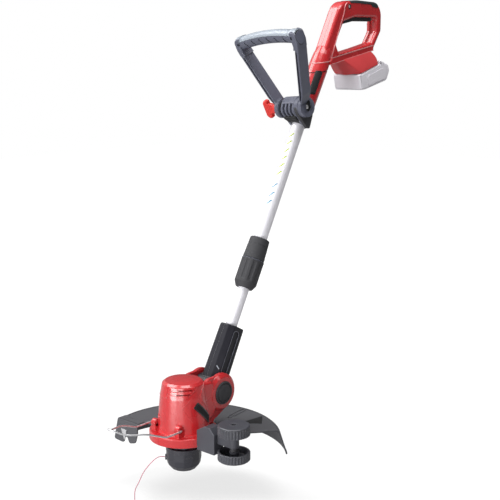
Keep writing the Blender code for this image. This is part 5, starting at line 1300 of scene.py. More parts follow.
class TrimmerFrontHandle(bpy.types.Operator):
    """Loop handle: two arms, the two-coloured grip, the through bolt and the wing knob"""
    bl_idname = "trimmer.front_handle"
    bl_label = "Front Handle"

    def execute(self, context):
        for name, side in (("arm_left", 1), ("arm_right", -1)):
            self.arm(name, side)
        self.grip()
        bolt = lathe([(0, 0.0398), (0.0016, 0.0396, 0.0006), (0.004, 0.0388, 0.0008),
                      (0.0042, 0.0374, 0.0003), (0.0036, 0.037), (0.0036, -0.056), (0, -0.056)],
                     LOOP @ TO_X, 48)
        piece("clamp_bolt_bright", [(bolt, steel())], "front_handle", "bright_steel", "clamp_bolt")
        self.knob()
        return {"FINISHED"}

    def arm(self, name, side):
        """One arm: its bowed blade, the end that holds the grip, the boss on the hub and a drop-shaped
        recess; dark sheets in the recess, in the blade's groove and in the screw hole paint their shade.
        """
        blade, end, groove = ([(side * a, *rest) for a, *rest in shape]
                              for shape in (ARM_BLADE, ARM_END, ARM_GROOVE))
        blade = plate(blade, 8, -0.014, 0.014, LOOP, FACE_ON, 0.0016)
        end = plate(end, 8, -0.0146, 0.0146, LOOP, FACE_ON, 0.0024)
        boss = cylinder_x(0.021, *span(side, ARM_ROOT, ARM_OUT), LOOP, 0.0012, 72)
        groove = rounded(groove, 4)
        # Dark liner that paints the shade in the blade's groove.
        groove_shade_liner = prism([inset(groove, 0.0002)], 0.007, 0.0086, LOOP, FACE_ON, 0.0002)
        groove = prism([groove], 0.008, 0.02, LOOP, FACE_ON, 0.0002)
        drop = rounded([(-0.008, -0.009, 0.008), (0.007, -0.011, 0.008), (0.013, 0.006, 0.004),
                        (0.0105, 0.012, 0.004), (-0.001, 0.0085, 0.006)], 6)
        recess = prism([drop], *span(side, ARM_OUT - 0.0026, 0.06), LOOP, edge=0.0003)
        # Dark well that paints the shade in the drop-shaped recess.
        recess_shade_well = prism([inset(drop, -0.0001)], *span(side, ARM_OUT - 0.004, ARM_OUT - 0.0024), LOOP,
                     edge=0.0001, steps=1)
        blade = carve(blade, groove, recess)
        boss = carve(boss, recess)
        screw = LOOP @ move(side * 0.08, 0, 0.154) @ turn(90, "X")
        end = carve(end, rod(0.0032, 0.02, 0.01, screw, 32))
        # Dark sheet in the screw hole that paints its shade.
        dark = rod(0.0031, 0.0104, 0.009, screw, 32)
        grey = handle_grey()
        forms = [(blade, grey), (end, grey), (boss, grey), (groove_shade_liner, deep_black()), (dark, deep_black()),
                 (recess_shade_well, badge_black()), *self.end_cap(side)]
        piece(name + "_moulding", forms, "front_handle", "grey_blue_plastic", name)

    def end_cap(self, side):
        """Oval plug in the end of the grip, in a fine groove whose near-black ring paints its shade."""
        place = LOOP @ move(0, 0, LOOP_REACH - 0.0026) @ Matrix.Diagonal((1, 0.98, 1.16, 1))
        outer = cylinder_x(0.0118, *span(side, 0.089, 0.0922), place, 0.0008, 56)
        ring = cylinder_x(0.0124, *span(side, 0.089, 0.0918), place, 0.0002, 56)
        return [(outer, handle_grey()), (ring, deep_black())]

    def section(self, x, first, last, grow, count=26):
        """Part of the grip's oval section, closed by its chord."""
        points = []
        for i in range(count + 1):
            angle = math.radians(first + (last - first) * i / count)
            points.append(Vector((x, (0.0133 + grow) * math.cos(angle),
                                  LOOP_REACH + grip_bow(x) + (0.0135 + grow) * math.sin(angle))))
        return points

    def grip(self):
        """Pale upper shell, dark under shell with its slanted finger grooves, and the ends."""
        stations = [-GRIP_FACE + 2 * GRIP_FACE * i / 48 for i in range(49)]
        upper = loft([self.section(x, 24, 156, 0.0004) for x in stations], LOOP)
        lower = loft([self.section(x, 158, 382, 0.0) for x in stations], LOOP)
        seams = [block((x - 0.0005, -0.03, 0.148), (x + 0.0005, 0.03, 0.2), LOOP, 0.0001)
                 for x in (-0.0695, 0.069)]
        upper = carve(upper, *seams)
        ends = []
        for side, reach in ((-1, 0.0908), (1, 0.0886)):
            spans = sorted(side * (0.0762 + (reach - 0.0762) * i / 8) for i in range(9))
            ends.append((loft([self.section(x, 24, 156, 0.0022) for x in spans], LOOP), pale_shell()))
        count = sizes().grooves
        width = sizes().groove_width / 2
        cutters = []
        for face in (-1, 1):
            for i in range(count):
                x = (i - (count - 1) / 2) * 0.0233
                low, high = span(face, 0.0078, 0.02)
                tilt = LOOP @ move(x, 0, LOOP_REACH + grip_bow(x) - 0.0025) @ turn(-34, "Y")
                cutters.append(block((-width, low, -0.0095), (width, high, 0.0062), tilt, 0.0003, 0.0006))
        lower = carve(lower, *cutters)
        # Near-black core under the lower shell that paints the shade in the finger grooves.
        core = loft([self.section(x, 0, 346, -0.0026) for x in stations[1:-1]], LOOP)
        piece("front_grip_top", [(upper, pale_shell()), *ends], "front_handle", "grey_blue_plastic",
              "front_grip_upper")
        piece("front_grip_under", [(lower, handle_grey()), (core, deep_black())], "front_handle",
              "grey_blue_plastic", "front_grip_lower")

    def knob(self):
        """Wing knob: a bar across a short neck and a round hub."""
        bar = plate([(-0.088, 0.015, 0.007), (-0.082, 0.0212, 0.005), (-0.0735, 0.0205, 0.004),
                     (-0.0725, -0.0205, 0.004), (-0.08, -0.0212, 0.005), (-0.088, -0.015, 0.007)], 8,
                    -0.0066, 0.0066, LOOP, FACE_ON, 0.0042, steps=7)
        neck = plate([(-0.076, 0.0135, 0.001), (-0.052, 0.0085, 0.002), (-0.052, -0.0085, 0.002),
                      (-0.076, -0.0135, 0.001)], 6, -0.0044, 0.0044, LOOP, FACE_ON, 0.0022, steps=5)
        hub = lathe([(0, -0.0406), (0.0098, -0.0406, 0.001), (0.0106, -0.044, 0.001),
                     (0.0106, -0.056, 0.003), (0.007, -0.061, 0.002), (0, -0.061)], LOOP @ TO_X, 64)
        piece("wing_knob", [(form, knob_red()) for form in (bar, neck, hub)], "clamp_knob",
              "gloss_red_plastic", "clamp_knob")


class TrimmerClampHub(bpy.types.Operator):
    """Clamp hub on the upper tube: ribbed barrel, side plates and toothed rims"""
    bl_idname = "trimmer.clamp_hub"
    bl_label = "Clamp Hub"

    def execute(self, context):
        bore = rod(UPPER_BORE_R, 0.06, -0.06, HUB)
        axis = HUB @ move(0, LOOP_AXIS, 0)
        fin = rounded([(-0.0474, 0.0, 0.018), (-0.044, 0.0205, 0.016), (-0.008, 0.021, 0.016),
                       (0.0, -0.006, 0.01), (0.004, -0.03, 0.003), (-0.006, -0.03, 0.004),
                       (-0.044, -0.017, 0.02)], 8)
        grey = handle_grey()
        fins = in_a_row(prism([fin], -0.0026, 0.0026, ROOT, SIDE_ON, 0.0012), grey, 4, (0.0112, 0, 0),
                        HUB @ move(-0.0168, 0, 0))
        fins = carve(fins, bore)
        crown = carve(prism([inset(fin, -0.0003)], -0.0192, 0.0192, HUB, edge=0.0008), bore,
                      block((-0.06, -0.09, -0.06), (0.06, 0.06, -0.001), HUB, 0.0001))
        rim = lathe([(0, 0.031), (0.02, 0.031, 0.001), (0.0214, 0.0298, 0.001), (0.0214, -0.0298, 0.001),
                     (0.02, -0.031, 0.001), (0, -0.031)], axis @ TO_X)
        middle = block((-0.0282, -0.06, -0.05), (0.02, 0.02, 0.05), HUB, 0.0006)
        rim = carve(rim, middle)
        # Near-black core and spine that paint the shade seen between the fins and rims.
        core = carve(cylinder_x(0.0165, -0.029, 0.023, axis), bore)
        spine = carve(block((-0.018, -0.03, -0.027), (0.018, 0.0, 0.0), HUB, 0.002), bore)
        teeth = in_a_row(block((-0.0014, -0.005, -0.003), (0.0014, 0.005, 0.003), edge=0.0004), black(), 4,
                         (0.0078, 0, 0), HUB @ move(-0.015, LOOP_AXIS, 0.0206))
        sleeve = lathe([(0.0143, 0.0205), (0.0172, 0.0205, 0.0008), (0.018, 0.0195, 0.0006),
                        (0.018, -0.0276, 0.0006), (0.0172, -0.0286, 0.0008), (0.0143, -0.0286)], HUB,
                       80, bored=True)
        ears = block((-0.0232, -0.012, -0.013), (0.0232, 0.0062, 0.013), HUB, 0.0015)
        screw_cups = [rod(0.0042, 0.02, 0.004, HUB @ move(x, 0, 0) @ turn(-90, "X"), 32)
                      for x in (-HUB_SCREW_X, HUB_SCREW_X)]
        ears = carve(ears, bore, *screw_cups)
        split = block((-0.05, -0.0002, -0.05), (0.05, 0.0002, 0.05), HUB, 0.00005)
        forms = [(fins, grey), (crown, grey), (rim, grey), (core, deep_black()), (spine, deep_black()),
                 (teeth, black()), (carve(sleeve, split), black()), (carve(ears, split), black())]
        outer = plate([(-0.048, 0.002, 0.018), (-0.04, 0.0215, 0.014), (-0.006, 0.02, 0.014),
                       (0.004, -0.005, 0.008), (0.0075, -0.033, 0.003), (0.0, -0.035, 0.003),
                       (-0.044, -0.017, 0.018)], 8, 0.0212, 0.0296, HUB, edge=0.0012)
        forms.append((carve(outer, bore), black()))
        piece("clamp_hub", forms, "handle", "grey_blue_plastic", "hub_front", "hub_back")
        return {"FINISHED"}


MARKS = (*((height, print_green) for height in (0.551, 0.534, 0.516, 0.499, 0.482, 0.465)),
         *((height, print_blue) for height in (0.437, 0.418, 0.4)))


class TrimmerTubes(bpy.types.Operator):
    """Upper and lower tube, collar and fluted lock sleeve"""
    bl_idname = "trimmer.tubes"
    bl_label = "Tubes And Lock"

    def execute(self, context):
        inner = UPPER_TUBE_R - TUBE_WALL
        upper = lathe([(UPPER_TUBE_R, 0.668), (UPPER_TUBE_R, 0.285, 0.0004), (inner, 0.2847),
                       (inner, 0.668)], SHAFT, 80, bored=True)
        piece("upper_tube_skin", [(upper, tube_metal())], "handle", "tube_aluminium", "upper_tube")
        marks = []
        for height, finish in MARKS:

            def surface(along, across, lift, height=height):
                angle = math.radians(-80) + (across + along * 0.8) / UPPER_TUBE_R
                reach = UPPER_TUBE_R + lift * 0.3
                return SHAFT @ around(reach, angle, height + along)

            marks.append((patch(surface, 0.0052, 0.0019, 0.0006, 0.0003, 12, 4), finish()))
        piece("tube_marks", marks, "handle", "pale_grey_plastic")
        inner = LOWER_TUBE_R - TUBE_WALL
        lower = lathe([(LOWER_TUBE_R, 0.47, 0.0003), (LOWER_TUBE_R, 0.062), (inner, 0.062), (inner, 0.47)],
                      SHAFT, 72, bored=True)
        piece("lower_tube_skin", [(lower, tube_metal())], "lower_shaft", "tube_aluminium", "lower_tube")
        collar = lathe([(0.0195, 0.322, 0.0006), (0.0205, 0.3205, 0.0006), (0.0212, 0.308, 0.0004),
                        (0.0206, 0.3074, 0.0003), (0.0206, 0.306, 0.0003), (0.0214, 0.3054, 0.0004),
                        (0.0222, 0.285, 0.0006), (0.0226, 0.2838, 0.0005), (0.0226, 0.2765, 0.0005),
                        (0.017, 0.276), (0.017, 0.285), (UPPER_BORE_R, 0.285), (UPPER_BORE_R, 0.322)], SHAFT,
                       96, bored=True)
        piece("collar_moulding", [(collar, black())], "handle", "black_plastic", "tube_collar")
        self.sleeve()
        return {"FINISHED"}

    def sleeve(self):
        """Twist-lock sleeve, its scallops fading out at both ends."""
        flutes = sizes().flutes
        depth = sizes().flute_depth
        foot, lip, top = 0.2144, 0.2264, 0.2757
        plain_r = 0.0185

        def wave(angle, radius, height):
            if radius < plain_r:
                return radius
            fade = min(1.0, max(0.0, (height - lip - 0.002) / 0.004),
                       max(0.0, (top - 0.0035 - height) / 0.002))
            fade = max(0.0, fade) * min(1.0, (radius - plain_r) / 0.002)
            scallop = max(0.0, math.cos(flutes * angle) + 0.25) / 1.25
            return radius - depth * fade * math.sqrt(scallop)

        side = [(0.0235, top - 0.0008 - (top - lip - 0.001) * i / 24) for i in range(25)]
        profile = [(0.0173, top), (0.0228, top, 0.0004), *side, (0.0232, lip - 0.0012),
                   (0.018, foot + 0.0008, 0.001), (0.0172, foot, 0.0005), (LOWER_BORE_R, foot),
                   (LOWER_BORE_R, lip), (0.0173, lip)]
        form = lathe(profile, SHAFT, 160, bored=True, wave=wave)
        # Pale grey ring round the sleeve's top that paints the highlight on the seam under the collar.
        rim = lathe([(0.0222, top - 0.001), (0.0237, top - 0.001, 0.0002), (0.0236, top - 0.0001, 0.0002),
                     (0.0222, top - 0.0001)], SHAFT, bored=True)
        piece("twist_sleeve", [(form, black()), (rim, handle_grey())], "lock_sleeve", "black_plastic",
              "lock_sleeve", sharp=40)


class TrimmerNeck(bpy.types.Operator):
    """Black neck that carries the lower tube on the head's pivot"""
    bl_idname = "trimmer.neck"
    bl_label = "Neck"

    def execute(self, context):
        cut = 0.01
        rings = []
        for height, wide, deep in ((0.01, 0.021, 0.022), (0.06, 0.021, 0.021), (0.13, 0.0207, 0.0199),
                                   (0.1325, 0.0203, 0.0195), (0.1335, 0.0194, 0.0186)):
            corners = [(wide, deep, 0.004), (-wide, deep, 0.004), (-wide, cut - deep, 0.003),
                       (cut - wide, -deep, 0.003), (wide - cut, -deep, 0.003), (wide, cut - deep, 0.003)]
            rings.append([Vector((p.x, p.y, height)) for p in rounded(corners, 5)])
        bore = rod(LOWER_BORE_R, 0.2, 0.0617, SHAFT)
        slot = rounded(rectangle(-0.0085, 0.034, 0.0085, 0.124, 0.007), 8)
        slots = [prism([slot], *span(side, 0.0192, 0.03), SHAFT, edge=0.0003) for side in (-1, 1)]
        cup = cylinder_x(0.0042, -0.03, -0.018, SHAFT @ move(0, *NECK_SCREW), 0.0003, 32)
        stem = carve(loft(rings, SHAFT), bore, cup, *slots)
        barrel = cylinder_x(0.03, -0.0223, 0.0223, SHAFT, 0.0015, 96)
        # Pale strip on the chamfer that paints the highlight on a step.
        painted_highlight_strip = block((-0.0042, -0.0004, -0.0009), (0.0042, 0.001, 0.0009),
                     SHAFT @ move(0.016, -0.016, 0.044) @ turn(45, "Z") @ turn(42, "Y"), 0.0002)
        for name, side in (("neck_left", 1), ("neck_right", -1)):
            forms = [(halved(form, side), neck_black()) for form in (stem, barrel)]
            # Pale grey lip round the slot that paints the highlight on its edge.
            lip = [SHAFT @ Vector((side * 0.0207, p.x, p.y)) for p in (*slot, slot[0])]
            forms.append((tube(lip, 0.0006, 8), handle_grey()))
            if side > 0:
                forms.append((painted_highlight_strip, pale_shell()))
            piece(name + "_moulding", forms, "lower_shaft", "black_plastic", name)
        return {"FINISHED"}


CHEEK = ((-0.075, 0.02), (-0.034, 0.035, 0.02), (0.008, 0.0365, 0.02), (0.033, 0.014, 0.02),
         (0.033, -0.018, 0.02), (0.01, -0.038, 0.02), (-0.036, -0.0605, 0.01), (-0.075, -0.0605))


class TrimmerMotorHead(bpy.types.Operator):
    """Red motor housing with its louvres, panel lines, yoke bosses, lugs and badge"""
    bl_idname = "trimmer.motor_head"
    bl_label = "Motor Head"

    def execute(self, context):
        gap = cylinder_x(0.0312, -0.0233, 0.0233, HEAD, 0.0006, 96)
        pocket = lathe([(0, -0.063), (0.038, -0.063, 0.001), (0.038, -0.09), (0, -0.09)], MOTOR, 80)
        wells = [cylinder_x(0.004, -FAR, -0.0185, HEAD @ move(0, y, z), 0.0003, 32) for y, z in MOTOR_SCREWS]
        barrel = lathe([(0, 0.0392), (0.02, 0.039, 0.01), (0.035, 0.0376, 0.003), (0.0408, 0.0332, 0.004),
                        (0.045, 0.01, 0.03), (0.051, -0.049, 0.01), (0.0514, -0.057, 0.002),
                        (0.0535, -0.06, 0.001), (0, -0.06)], MOTOR, 128)
        slots = []
        for height, first, last in ((0.0288, -57, -17), (0.021, -62, -26)):
            cut = rounded([(0.036, height - 0.0011), (0.05, height - 0.0014), (0.05, height + 0.001),
                           (0.036, height + 0.0011)], 2)
            slots.append(sector(cut, first, last, MOTOR, 24))
        barrel = carve(barrel, gap, wells[1], *slots)
        flange = lathe([(0, -0.059), (0.05, -0.0592, 0.002), (0.0655, -0.0602, 0.0014),
                        (0.067, -0.0618, 0.0012), (0.067, -0.0768, 0.0008), (0.0662, -0.0777, 0.0004),
                        (0, -0.0777)], MOTOR, 128)
        flange = carve(flange, pocket, gap)
        forms = [barrel, flange]
        for side in (-1, 1):
            cheek = plate(CHEEK, 8, *span(side, 0.023, 0.031), HEAD, edge=0.0022, steps=5)
            forms.append(carve(cheek, wells[0]))
            boss = lathe([(0, 0.038), (0.0253, 0.038), (0.0315, 0.038, 0.001), (0.0376, 0.0322, 0.0012),
                          (0.038, 0.03, 0.001), (0.038, 0.024), (0, 0.024)],
                         HEAD @ turn(side * 90, "Y"), 112)
            seat = cylinder_x(0.0236, *span(side, 0.0318, 0.05), HEAD, 0.0003, 80)
            forms.append(carve(boss, seat))
            forms.append(self.fairing(side, gap))
            forms += self.lug(side)
        web = block((-0.026, -0.058, -0.0603), (0.026, -0.016, -0.034), HEAD, 0.002)
        forms.append(carve(web, gap))
        forms += self.steps_and_lines()
        for name, side in (("motor_housing_left", 1), ("motor_housing_right", -1)):
            halves = [halved(form, side) for form in forms]
            shells = [(form, red()) for form in halves if len(form.polygons)]
            # Dark sheet that paints the shade behind the louvre slots.
            shells.append((halved(self.louvre_shade_sheet(), side), deep_black()))
            piece(name + "_shell", shells, "head", "gloss_red_plastic", name)
        self.button("tilt_button", 1, "pivot_button", "pivot_button")
        self.button("far_cap", -1, "head", "pivot_cap")
        self.badge()
        return {"FINISHED"}

    def fairing(self, side, gap):
        """Shoulder between the barrel and a yoke cheek, with its wavy front edge."""
        shoulder = plate([(-0.053, 0.033, 0.008), (-0.07, 0.018, 0.008), (-0.06, -0.005, 0.008),
                          (-0.06, -0.04, 0.01), (-0.03, -0.048, 0.01), (-0.018, -0.03, 0.01),
                          (-0.025, 0.03, 0.01)], 8, *span(side, 0.02, 0.0365), HEAD, edge=0.006, steps=6)
        seat = cylinder_x(0.025, *span(side, 0.0311, 0.05), HEAD, 0.0003, 80)
        return carve(shoulder, gap, seat)

    def lug(self, side):
        """Boss that holds one end of the wire guard."""
        ends = span(side, 0.0265, 0.038)
        round_part = cylinder_x(0.0082, *ends, LUG, 0.0018, 48)
        foot = block((ends[0], -0.0066, -0.016), (ends[1], 0.015, 0.0), LUG, 0.0012)
        eye = cylinder_x(0.0022, ends[0] - 0.001, ends[1] + 0.001, LUG, 0.0002, 24)
        return [carve(round_part, eye), carve(foot, eye)]

    def steps_and_lines(self):
        """Louvre steps, the band's lower edge, the diamond panel line and the wavy seam lip."""
        step = rounded([(0.0385, 0.0), (0.0432, -0.0006, 0.0004), (0.0424, 0.0034, 0.0006),
                        (0.0385, 0.0036)], 3)
        made = []
        for height, grow, first, last in ((0.03, 0.0, -82, -10), (0.0222, 0.0013, -84, -22),
                                          (0.015, 0.0024, -86, -32)):
            section = [Vector((p.x + grow, p.y + height)) for p in step]
            made.append(sector(section, first, last, MOTOR, 40))
        for radius, corners in (
                (0.0008, [(-86, 0.015), (-32, 0.015), (-3.8, 0.0318)]),
                (0.0005, [(-21, 0.015), (-47, -0.0064), (-22, -0.0344)]),
                (0.0005, [(-170, 0.0104), (-131, 0.011), (-86, 0.0112)])):
            made.append(ridge(corners, radius))
        wavy = [(33, 0.033), (14, 0.024), (3, 0.015), (8, 0.002), (18, -0.006), (23, -0.015), (30, -0.026),
                (36, -0.038)]
        for corners in (wavy, [(180 - heading, height) for heading, height in wavy]):
            made.append(ridge(corners, 0.0011, fine=6))
        return made

    def louvre_shade_sheet(self):
        """Dark sheet behind the louvre slots that paints their shade."""
        section = [Vector((0.0365, 0.015)), Vector((0.0385, 0.015)), Vector((0.0375, 0.0315)),
                   Vector((0.0365, 0.0315))]
        return sector(section, -70, -10, MOTOR, 30)

    def button(self, name, side, body, node):
        """Big domed black cap in a yoke boss."""
        place = HEAD @ turn(side * 90, "Y")
        dome = lathe([(0, 0.0432), (0.011, 0.0427, 0.02), (0.0176, 0.0406, 0.003), (0.0183, 0.0392, 0.0004),
                      (0.0189, 0.0392, 0.0004), (0.0196, 0.041, 0.0008), (0.022, 0.0405, 0.0012),
                      (0.0233, 0.0386, 0.001), (0.0233, 0.0362), (0, 0.0362)], place, 96)
        piece(name, [(dome, black())], body, "black_plastic", node)

    def badge(self):
        """Bare slanted plate on the barrel."""
        long_way = Vector((0, math.cos(math.radians(-45)), math.sin(math.radians(-45))))
        wide_way = Vector((0, long_way.z, -long_way.y)) * -1

        def surface(u, v, lift):
            spot = Vector((0, 0.008, -0.0205)) + long_way * u + wide_way * v
            reach = curve_radius(HEAD_CURVE, spot.z) + 0.0004 + lift
            return MOTOR @ Vector((math.sqrt(max(1e-6, reach ** 2 - spot.y ** 2)), spot.y, spot.z))

        rim = patch(surface, 0.027, 0.0072, 0.0015, 0.0009)
        field = patch(lambda u, v, lift: surface(u, v, lift + 0.0003), 0.0244, 0.005, 0.001, 0.0007)
        piece("head_badge_plate", [(rim, badge_black()), (field, deep_black())], "head", "black_plastic",
              "head_badge")


class TrimmerGuard(bpy.types.Operator):
    """Guard with its ribs, fender and line cutter"""
    bl_idname = "trimmer.guard"
    bl_label = "Guard"

    def execute(self, context):
        rise = VISOR_TOP + 0.004
        foot = -0.124
        section = rounded([(0.02, VISOR_TOP), (0.08, VISOR_TOP), (0.168, rise, 0.002),
                           (0.173, rise - 0.003, 0.004), (0.188, foot, 0.001), (0.185, foot, 0.001),
                           (0.17, rise - 0.006, 0.003), (0.167, rise - 0.003, 0.001),
                           (0.08, VISOR_TOP - 0.003), (0.02, VISOR_TOP - 0.003)], 4)
        forms = [carve(sector(section, 44, 190, VISOR, 110), rod(0.04, 0, foot, MOTOR, 96))]
        rim = rounded([(0.1845, foot, 0.0004), (0.188, foot, 0.0006), (0.1874, -0.12, 0.0006),
                       (0.1846, -0.12, 0.0004)], 3)
        lip = rounded([(0.166, -0.0742), (0.1688, -0.0742), (0.1684, -0.0731, 0.0004),
                       (0.1664, -0.0731, 0.0004)], 3)
        forms += [sector(rim, 44, 190, VISOR, 110), sector(lip, 48, 188, VISOR, 110)]
        flat = self.on_visor(93)
        half = [(0.03, 0.0), (0.032, 0.0034), (0.05, 0.0046), (0.078, 0.0046), (0.083, 0.0)]
        loop = half + [(x, -y) for x, y in half[-2::-1]]
        path = smooth_path([Vector((x, y, 0.0001)) for x, y in loop], 6)
        forms.append(tube([flat @ point for point in path], 0.0011, 10))
        shelf = block((-0.17, -0.096, -0.079), (-0.112, -0.074, -0.076), HEAD, 0.0008)
        wall = plate([(-0.112, -0.076, 0.002), (-0.112, -0.098, 0.006), (-0.119, -0.119, 0.006),
                      (-0.137, -0.124, 0.006), (-0.142, -0.112, 0.004), (-0.15, -0.112, 0.004),
                      (-0.154, -0.126, 0.006), (-0.183, -0.124, 0.004), (-0.1705, -0.076, 0.004)], 6, 0.093,
                     0.0964, HEAD, FACE_ON, 0.0008)
        forms += [shelf, wall]
        # Near-black wedge on the visor that paints the shade of a recess.
        wedge = plate([(0.028, 0.004, 0.001), (0.063, -0.024, 0.002), (0.0845, 0.0118, 0.002)], 4, -0.0006,
                      0.0005, self.on_visor(70), ROOT, 0.0002, steps=2)
        whole = [(form, guard_grey()) for form in forms] + [(wedge, deep_black())]
        piece("guard_visor", whole, "head", "guard_plastic", "guard", sharp=30)
        blade = [Vector(p) for p in ((-0.16, -0.096), (-0.143, -0.096), (-0.15, -0.119))]
        cutter = prism([blade], 0.0967, 0.0979, HEAD, FACE_ON, 0.0003, steps=2)
        piece("line_cutter", [(cutter, steel())], "head", "bright_steel", "line_cutter_blade")
        return {"FINISHED"}

    def on_visor(self, heading):
        """The visor's slightly sloping face at a heading."""
        return VISOR @ turn(heading, "Z") @ move(0.08, 0, VISOR_TOP) @ turn(-2.6, "Y")


class TrimmerWireGuard(bpy.types.Operator):
    """Sprung steel bow in front of the spool"""
    bl_idname = "trimmer.wire_guard"
    bl_label = "Wire Guard"

    def execute(self, context):
        side = [(0.04, -0.1205, -0.045), (0.0414, -0.1225, -0.045), (0.0415, -0.13, -0.045),
                (0.0415, -0.155, -0.045), (0.0405, -0.166, -0.043), (0.034, -0.203, -0.029),
                (0.027, -0.226, -0.025), (0.018, -0.244, -0.021), (0.008, -0.2588, -0.013),
                (0.0, -0.2615, -0.012)]
        other = [(-x, y, z) for x, y, z in reversed(side[:-1])]
        root = [(0.0295, -0.119, -0.045), (0.038, -0.119, -0.045)]
        far = [(-x, y, z) for x, y, z in reversed(root)]
        path = smooth_path([Vector(p) for p in root + side + other + far], 6)
        wire = tube(path, 0.0017, 16, HEAD)
        piece("wire_bow", [(wire, steel())], "wire_guard", "bright_steel", "wire_guard", sharp=60)
        return {"FINISHED"}


class TrimmerWheels(bpy.types.Operator):
    """Two ribbed edging wheels, their axle and bracket"""
    bl_idname = "trimmer.wheels"
    bl_label = "Edging Wheels"

    def execute(self, context):
        grey = wheel_grey()
        proud = sizes().rib_proud
        rim = 0.0308 - proud
        top, foot = -0.017, -0.037
        upper = lathe([(rim - 0.0016, top, 0.0006), (rim + proud * 0.6, top - 0.0016, 0.0008),
                       (rim, top - 0.0026, 0.0004), (rim, foot + 0.0004, 0.0004),
                       (rim - 0.003, foot, 0.0006), (rim - 0.003, top - 0.004, 0.001),
                       (0.009, top - 0.004, 0.001), (0.009, foot, 0.0006), (0.0043, foot, 0.0003),
                       (0.0043, top, 0.0006), (0.0075, top, 0.0003), (0.0079, top - 0.0004, 0.0002),
                       (0.0084, top, 0.0003)], ROOT, 112, bored=True)
        upper = ribbed(upper, WHEELS, grey, sizes().rib_count, rim, 0.0038, proud, 0.016,
                       (top + foot) / 2 - 0.0012)
        piece("upper_wheel_moulding", [(upper, grey)], "wheel_upper", "grey_blue_plastic", "upper_wheel")
        top, foot = -0.069, -0.0865
        lower = lathe([(rim, top, 0.0006), (rim, foot + 0.0014, 0.0008), (rim - 0.0016, foot, 0.0006),
                       (0.0043, foot, 0.0004), (0.0043, top, 0.0004), (0.009, top, 0.0006),
                       (0.009, foot + 0.004, 0.001), (rim - 0.0035, foot + 0.004, 0.001),
                       (rim - 0.003, top, 0.0006)], ROOT, 112, bored=True)
        lower = ribbed(lower, WHEELS, grey, sizes().rib_count, rim, 0.0038, proud, 0.0145,
                       (top + foot) / 2 + 0.0004)
        piece("lower_wheel_moulding", [(lower, grey)], "wheel_lower", "grey_blue_plastic", "lower_wheel")
        pin = lathe([(0, -0.0186), (0.0034, -0.0186, 0.0006), (0.004, -0.0192), (0.004, -0.0868),
                     (0.0065, -0.0868, 0.0002), (0.0065, -0.0882, 0.0006), (0, -0.0882)], WHEELS, 48)
        piece("axle_pin", [(pin, black())], "head", "bright_steel", "wheel_axle")
        self.bracket()
        return {"FINISHED"}

    def bracket(self):
        """Bracket seated on the flange, with the arm and eye that carry the axle."""
        body = plate([(0.056, -0.082, 0.002), (0.107, -0.082, 0.002), (0.107, -0.043, 0.0015),
                      (0.096, -0.031, 0.0015), (0.081, -0.031, 0.0015), (0.056, -0.045, 0.0015)], 5, 0.075,
                     0.101, HEAD, FACE_ON, 0.0014)
        seat = rod(0.0673, 0, -0.09, MOTOR, 128)
        body = carve(body, seat)
        arm = block((0.095, -0.091, -0.062), (0.141, -0.073, -0.044), HEAD, 0.0014)
        end = lathe([(0.0043, -0.0437), (0.009, -0.0437, 0.001), (0.01, -0.0447, 0.0006),
                     (0.01, -0.0613, 0.0006), (0.009, -0.0623, 0.001), (0.0043, -0.0623)], WHEELS,
                    64, bored=True)
        column = lathe([(0.0043, -0.0373), (0.0072, -0.0373, 0.0003), (0.0072, -0.0687, 0.0003),
                        (0.0043, -0.0687)], WHEELS, 48, bored=True)
        gusset = plate([(0.1, -0.044, 0.001), (0.128, -0.044, 0.001), (0.107, -0.033, 0.001),
                        (0.1, -0.033, 0.001)], 3, 0.0795, 0.084, HEAD, FACE_ON, 0.0006)
        forms = [(form, wheel_grey()) for form in (body, carve(arm, seat), end, gusset)]
        forms.append((column, black()))
        piece("wheel_bracket_moulding", forms, "head", "guard_plastic", "wheel_bracket")


